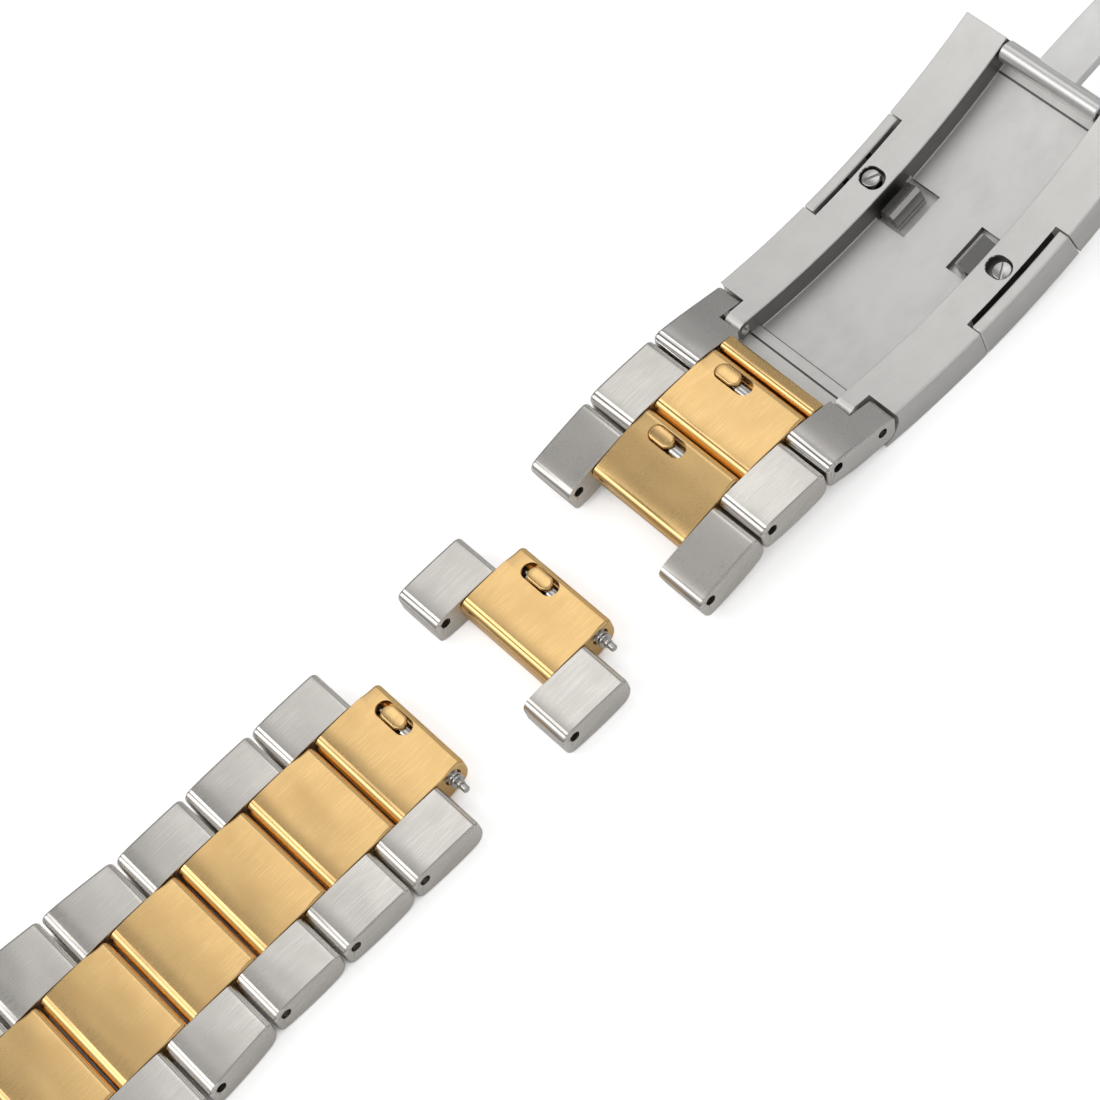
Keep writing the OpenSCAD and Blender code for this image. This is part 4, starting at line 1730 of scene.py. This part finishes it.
        # Outer flanks take the darker copy of the clasp satin that paints their shade.
        if y > C.half_w - SLACK and abs(out.y) > 0.9:
            return 3
        reach = math.degrees((C.button_span / 2 + 0.15) / C.rail_r)
        pocket = C.pocket_y - SLACK < y < C.half_w - 0.05 and away < reach
        recess = (
            y < C.pocket_y and C.rail_r + 0.03 < radius and above_base and away < self.screw_reach
        )
        # The pocket and the screw recess take the near-black steel that paints their shade.
        return 2 if pocket or recess else 0

    def dress(self, parts: LinkParts) -> list[bpy.types.Object]:
        """Makes the cover."""
        return [placed(
            "clasp_cover_milled", self.mesh(), CLASP_PLACE,
            [Finishes.RAIL, Finishes.FLOOR, Finishes.RECESS_PAINTED_SHADE, Finishes.FLANK_PAINTED_SHADE], Metal.CLASP,
            "clasp_cover", ["clasp_cover"],
        )]


@dataclass(frozen=True)
class PushButton:
    """A push button with its slider, hook, screw and springs."""

    side: Side
    hook_y: Flat = (3.4, 4.3)
    hook_nose: float = 4.92
    hook_r: Flat = (62.78, 63.02)
    slide_w: float = 3.2
    slide_r: Flat = (64.05, 64.5)
    rim: Flat = (0.16, 0.14)
    shaft_r: float = 0.4
    slot_w: float = 0.25
    slot_turn: float = -30.0
    coil_x: float = 4.3
    coil_r: float = 0.55
    coil_deep: float = 1.5
    coil_turns: float = 5.0
    wire: float = 0.06

    @property
    def name(self) -> str:
        """Returns the button's body and node name."""
        return f"{self.side.name.lower()}_button"

    def face(self) -> Form:
        """Returns the left button's outer block."""
        half = C.button_span / 2
        return swept(
            oblong((C.rail_r, C.clasp_r), (C.button_in, C.half_w), self.rim[0]),
            (C.button_at - half, C.button_at + half), edge=self.rim[1],
        )

    def slider(self) -> Form:
        """Returns the left slider with its hook."""
        half, turn = self.slide_w / 2, C.turned_frame(C.button_at)
        (near, far), (top, low), (high, deep) = self.hook_y, self.hook_r, self.slide_r
        plate = block((-half, near, -deep), (half, C.button_in + SLACK, -high))
        line = rounded([
            Corner(near, -high - 0.1), Corner(far, -high - 0.1), Corner(far, -low),
            Corner(self.hook_nose, -low), Corner(self.hook_nose, -low + 0.06),
            Corner(near + 0.3, -top + 0.3, 0.1), Corner(near, -top, 0.08),
        ], 3)
        hook = Form().loft([[Vector((x, y, z)) for y, z in line] for x in (-half, half)])
        return plate.moved(turn).plus(hook.moved(turn))

    def body(self) -> bpy.types.Mesh:
        """Returns the button with its slider, on its own side."""
        whole = self.face().moved(self.side.matrix).mesh("face")
        whole = carved(whole, [(Cut.ADD, self.slider().moved(self.side.matrix))])
        # Slider and hook faces take number 1, darker steel painted as the shade in the window; the
        # flank takes number 2, a darker copy painted as the shade of the side.
        for face in whole.polygons:
            inner = abs(face.center.y) < C.button_in
            flank = abs(face.center.y) > C.half_w - SLACK and abs(face.normal.y) > 0.9
            face.material_index = 1 if inner else 2 if flank else 0
        return polished(whole, lambda p: 0.0)

    def screw(self) -> bpy.types.Mesh:
        """Returns the slotted screw, on the button's side."""
        turn, top, y = C.turned_frame(C.button_at), -C.rail_r - 0.2, C.screw_y
        head = column(circle(0, y, C.screw_r), [
            (top - 0.45, 0.0), (top - 0.06, 0.0), (top - 0.02, 0.03), (top, 0.08),
        ])
        shaft = column(circle(0, y, self.shaft_r), [(-self.slide_r[1], 0), (top - 0.4, 0)])
        half = self.slot_w / 2
        slot = block((-1.5, -half, -0.2), (1.5, half, 0.2)).moved(
            Matrix.Translation((0, y, top))
            @ Matrix.Rotation(math.radians(self.slot_turn), 4, "Z")
        )
        blank = head.moved(turn).mesh("screw")
        return self.sided(
            carved(blank, [(Cut.ADD, shaft.moved(turn)), (Cut.TAKE, slot.moved(turn))])
        )

    def springs(self, tree: GeometryTree) -> bpy.types.Mesh:
        """Returns the two springs behind the button, on its side.

        Args:
            tree: The coil's tree.

        Returns:
            The mesh.
        """
        out = bmesh.new()
        for x in (-self.coil_x, self.coil_x):
            coil = tree.applied("coil", bpy.data.meshes.new("coil"), {
                "Turns": self.coil_turns, "Radius": self.coil_r - self.wire, "Wire": self.wire,
                "Length": C.button_in - C.spring_y - 2 * self.wire, "Along": x,
                "Start": C.spring_y + self.wire, "Height": -C.rail_r - self.coil_deep,
                "Finish": FINISHES.get(Finishes.SPRING),
            })
            coil.transform(C.turned_frame(C.button_at))
            out.from_mesh(coil)
        mesh = bpy.data.meshes.new("springs")
        out.to_mesh(mesh)
        out.free()
        return self.sided(mesh)

    def sided(self, mesh: bpy.types.Mesh) -> bpy.types.Mesh:
        """Carries a mesh made for the left to the button's side."""
        mesh.transform(self.side.matrix)
        if self.side is Side.RIGHT:
            mesh.flip_normals()
        return mesh

    def dress(self, parts: LinkParts) -> list[bpy.types.Object]:
        """Makes the button's pieces on its side.

        Args:
            parts: The shared meshes and trees.

        Returns:
            The pieces.
        """
        name, way = self.name, self.side.value
        out = [
            placed(f"{name}_milled", self.body(), CLASP_PLACE,
                   [Finishes.RAIL, Finishes.HOOK_PAINTED_SHADE, Finishes.FLANK_PAINTED_SHADE], Metal.CLASP, name, [name]),
            placed(f"{name}_slotted_screw", self.screw(), CLASP_PLACE, [Finishes.BRIGHT],
                   Metal.BRIGHT, name, [f"{name}_screw"]),
            placed(f"{name}_coils", self.springs(parts.coil), CLASP_PLACE, [Finishes.SPRING],
                   Metal.SPRING, "clasp_cover", [f"{name}_spring"]),
        ]
        x, z = C.at(C.rail_r + self.coil_deep, C.button_at)
        start = (x, way * C.spring_y, z)
        squashed(out[-1], f"{name}_slide", way, start, C.button_in - C.spring_y)
        return out


@dataclass(frozen=True)
class Blades:
    """The two folding blades, drawn closed and carried to their open places."""

    rim: float = 0.1
    knuckle_rim: float = 0.08
    rod_y: float = 5.2
    bar_y: float = 5.05
    inner_y: float = 2.0
    gap: float = 0.05
    end_out: float = 0.65
    pin_holes: Flat = (0.405, 0.39)
    rebate_out: float = 0.3
    rebates: tuple[tuple[float, Flat], ...] = ((1.0, (2.8, 4.75)), (0.17, (3.4, 5.12)))
    shine: float = 0.3

    def strip(self, y: Flat, span: Flat) -> Form:
        """Returns a blade's strip."""
        r = (C.blade_mid - C.blade_t / 2, C.blade_mid + C.blade_t / 2)
        return swept(oblong(r, y, self.rim), span)

    def knuckle(self, start: float, end: float, at: Flat) -> Form:
        """Returns a cylinder along y with bevelled ends."""
        return turned(collar(start, end, C.knuckle, self.knuckle_rim), *at)

    def inner(self) -> bpy.types.Mesh:
        """Returns the inner blade with its cross tube."""
        tube, far = C.at(C.tube_r, C.tube_at), C.at(C.blade_mid, C.far_at)
        blank = self.strip((-C.blade_half, C.blade_half), (C.far_at, C.tube_at)).mesh("inner")
        mesh = carved(blank, [
            (Cut.ADD, turned(collar(-self.rod_y, self.rod_y, C.tube_out, self.rim), *tube)),
            (Cut.ADD, self.knuckle(-self.inner_y, self.inner_y, far)),
            (Cut.TAKE, through(*tube, self.pin_holes[0])),
            (Cut.TAKE, through(*far, self.pin_holes[1])),
        ])
        mesh.transform(C.opened())
        return polished(mesh, lambda p: self.shine)

    def outer(self) -> bpy.types.Mesh:
        """Returns the outer blade, with rebates over the hooks."""
        far, end = C.at(C.blade_mid, C.far_at), C.at(C.outer_end_r, C.outer_end_at)
        arm = self.strip(C.outer_y, (C.far_at, C.outer_end_at))
        ends = [
            self.knuckle(C.outer_y[0] + self.gap, C.outer_y[1] - self.gap, far),
            swept(oblong((C.outer_end_r, C.blade_mid), C.outer_y),
                  (C.outer_end_at - self.end_out, C.outer_end_at + self.end_out), 0.4),
        ]
        span = (C.window_at[0] - self.rebate_out, C.window_at[1] + self.rebate_out)
        tools = [(Cut.ADD, arm.moved(FLIP))]
        for form in ends:
            tools += [(Cut.ADD, form), (Cut.ADD, form.moved(FLIP))]
        tools.append((Cut.ADD, self.knuckle(-self.bar_y, self.bar_y, end)))
        for over, y in self.rebates:
            form = swept(oblong((C.blade_mid - 1, C.blade_mid + over), y), span)
            tools += [(Cut.TAKE, form), (Cut.TAKE, form.moved(FLIP))]
        tools += [(Cut.TAKE, through(*at, self.pin_holes[0])) for at in (far, end)]
        mesh = carved(arm.mesh("outer"), tools)
        shift = C.opened() @ Vector((far[0], 0, far[1])) - Vector((far[0], 0, far[1]))
        mesh.transform(Matrix.Translation((shift.x, 0, shift.z)))
        return polished(mesh, lambda p: self.shine)

    def dress(self, parts: LinkParts) -> list[bpy.types.Object]:
        """Makes both blades."""
        blades = {"inner_blade": self.inner(), "outer_blade": self.outer()}
        return [
            placed(f"{name}_steel", mesh, CLASP_PLACE, [Finishes.BLADE], Metal.BRIGHT, name,
                   [name])
            for name, mesh in blades.items()
        ]


# Studio


@dataclass(frozen=True)
class Studio:
    """White floor, soft light and the camera at the photograph's angle."""

    lens: float = 118.26
    sensor: float = 36.0
    reach: float = 2000.0
    glow: float = 0.62
    shown: float = 0.12
    shadow: float = 0.006
    key: float = 1.3
    side: float = 2.2
    far: float = 0.6
    back: float = 0.5
    fill: float = 0.26
    place: Triple = (-40.304 - MID_X, -144.234, 234.509)
    right: Triple = (0.71441, -0.6499, -0.25931)
    down: Triple = (-0.67655, -0.54697, -0.49306)
    ahead: Triple = (0.1786, 0.52768, -0.83045)

    def camera(self) -> None:
        """Adds the camera."""
        data = bpy.data.cameras.new("camera")
        data.sensor_width = self.sensor
        data.lens = self.lens
        data.clip_start = 0.005
        out = linked("camera", data)
        turn = Matrix((self.right, [-v for v in self.down], [-v for v in self.ahead]))
        out.matrix_world = Matrix.Translation(Vector(self.place) * MM) @ turn.transposed().to_4x4()
        bpy.context.scene.camera = out

    def floor(self) -> None:
        """Adds the white table, which keeps the bracelet's shadow: real shadow in its diffuse
        part, and painted shade where its glow is dimmed by ambient occlusion under and between the
        links.
        """
        r = self.reach
        mesh = block((-r, -r, -20), (r, r, -0.02)).mesh("floor")
        mesh.transform(Matrix.Scale(MM, 4))
        material, g = new_material("white table")
        grain = g.noise(g.node("ShaderNodeTexCoord", output="Object"), (40, 40, 40), 2.0)
        soft = g.node(
            "ShaderNodeBsdfDiffuse", None,
            {"Color": g.mixed(grain, (0.86, 0.86, 0.86), (0.88, 0.88, 0.88))},
        )
        path = g.node("ShaderNodeLightPath", output="Is Camera Ray")
        gloss = Wire(g, path.socket.node.outputs["Is Glossy Ray"])
        # Painted shade: the glow is dimmed by ambient occlusion, so the floor darkens under and
        # between the links, also where glossy rays see it.
        occlusion_for_painted_shade = g.node(
            "ShaderNodeAmbientOcclusion", {"samples": 8}, {"Distance": self.shadow},
            output="AO",
        )
        shade = occlusion_for_painted_shade.ramped(0.05, 0.4)
        glow = g.node(
            "ShaderNodeEmission", None,
            {"Strength": path.highest(gloss * self.shown) * shade * self.glow},
        )
        both = g.node("ShaderNodeAddShader", None, {0: soft, 1: glow})
        g.node("ShaderNodeOutputMaterial", None, {"Surface": both})
        mesh.materials.append(material)
        linked("floor", mesh)

    def light(self) -> None:
        """Adds the soft world light: a plain fill and four soft patches."""
        world = bpy.data.worlds.new("studio")
        bpy.context.scene.world = world
        world.use_nodes = True
        g = Graph(world.node_tree)
        way = g.node("ShaderNodeTexCoord", output="Generated")
        node = g.node("ShaderNodeSeparateXYZ", None, {0: way}, "X").socket.node
        x, y, z = (Wire(g, node.outputs[k]) for k in range(3))
        key = (
            x.ramped(-0.05, 0.08) * x.ramped(0.34, 0.52, (1.0, 0.0))
            * y.ramped(-0.1, 0.3) * y.ramped(0.50, 0.72, (1.0, 0.45)) * z.ramped(0.35, 0.65)
        )
        side = (
            x.ramped(-0.42, -0.26, (1.0, 0.0)) * x.ramped(-0.78, -0.52, (0.12, 1.0))
            * z.ramped(0.2, 0.4) * y.ramped(-0.3, 0.2)
        )
        far = x.ramped(0.62, 0.72) * z.ramped(0.1, 0.3) * y.ramped(-0.3, 0.2)
        back = y.ramped(-0.6, -0.2, (1.0, 0.0)) * z.ramped(0.1, 0.4)
        level = (
            key * self.key + side * self.side + far * self.far + back * self.back + self.fill
        )
        light = g.node("ShaderNodeBackground", None, {"Strength": level})
        white = g.node("ShaderNodeBackground", None, {"Strength": 1.0})
        path = g.node("ShaderNodeLightPath", output="Is Camera Ray")
        both = g.node("ShaderNodeMixShader", None, {0: path, 1: light, 2: white})
        g.node("ShaderNodeOutputWorld", None, {"Surface": both})

    def build(self) -> None:
        """Sets the studio up."""
        bpy.context.scene.view_settings.view_transform = "Standard"
        self.camera()
        self.floor()
        self.light()


def back_from(x: float, z: float, reach: float, tilt: float) -> Place:
    """Returns the link whose point at x = reach lies on a joint.

    Args:
        x: The joint's x.
        z: The joint's z.
        reach: The link's length up to the joint.
        tilt: The link's tilt in degrees.

    Returns:
        The link's place.
    """
    a = math.radians(tilt)
    return Place(x - reach * math.cos(a), z - reach * math.sin(a), tilt)


def dress_pins() -> None:
    """Gives the kept CAD pins their finish."""
    for name, thing in frame["nodes"].items():
        if name.endswith(("_pin", "_pins")):
            thing.data.materials.clear()
            thing.data.materials.append(FINISHES.get(Finishes.BRIGHT))


def main() -> None:
    """Builds the studio and dresses every piece in order."""
    logging.basicConfig(level=logging.INFO, format="%(message)s")
    Studio().build()
    LOG.info("studio set up")
    hinge = C.at(C.hinge_r, C.hinge_at)
    end = back_from(*hinge, EndLink.hole, END_TILT)
    link_2 = back_from(end.x, end.z, L.pitch, LINK_2_TILT)
    link_1 = back_from(link_2.x, link_2.z, L.pitch, LINK_1_TILT)
    run = [Place(RUN_X - L.pitch * i, L.bottom) for i in range(7)]
    assemblies: list[SubAssembly] = [
        Link("link_2", link_2, True),
        Link("link_1", link_1, True),
        Link("loose_link", Place(0, L.bottom), True, TIPS_OUT),
        Link("run_link_1", run[0], True, TIPS_OUT),
        *(
            Link(f"run_link_{i + 1}", run[i], out=(L.flare[i], L.flare[i - 1]))
            for i in range(1, 6)
        ),
        LugLink(run[6]),
        EndLink(end),
        ClaspCover(),
        *(PushButton(side) for side in Side),
        Blades(),
    ]
    parts = LinkParts()
    for assembly in assemblies:
        for piece in assembly.dress(parts):
            LOG.info("%s dressed", piece.name)
    dress_pins()
    LOG.info("pins dressed")


if __name__ == "__main__":
    main()
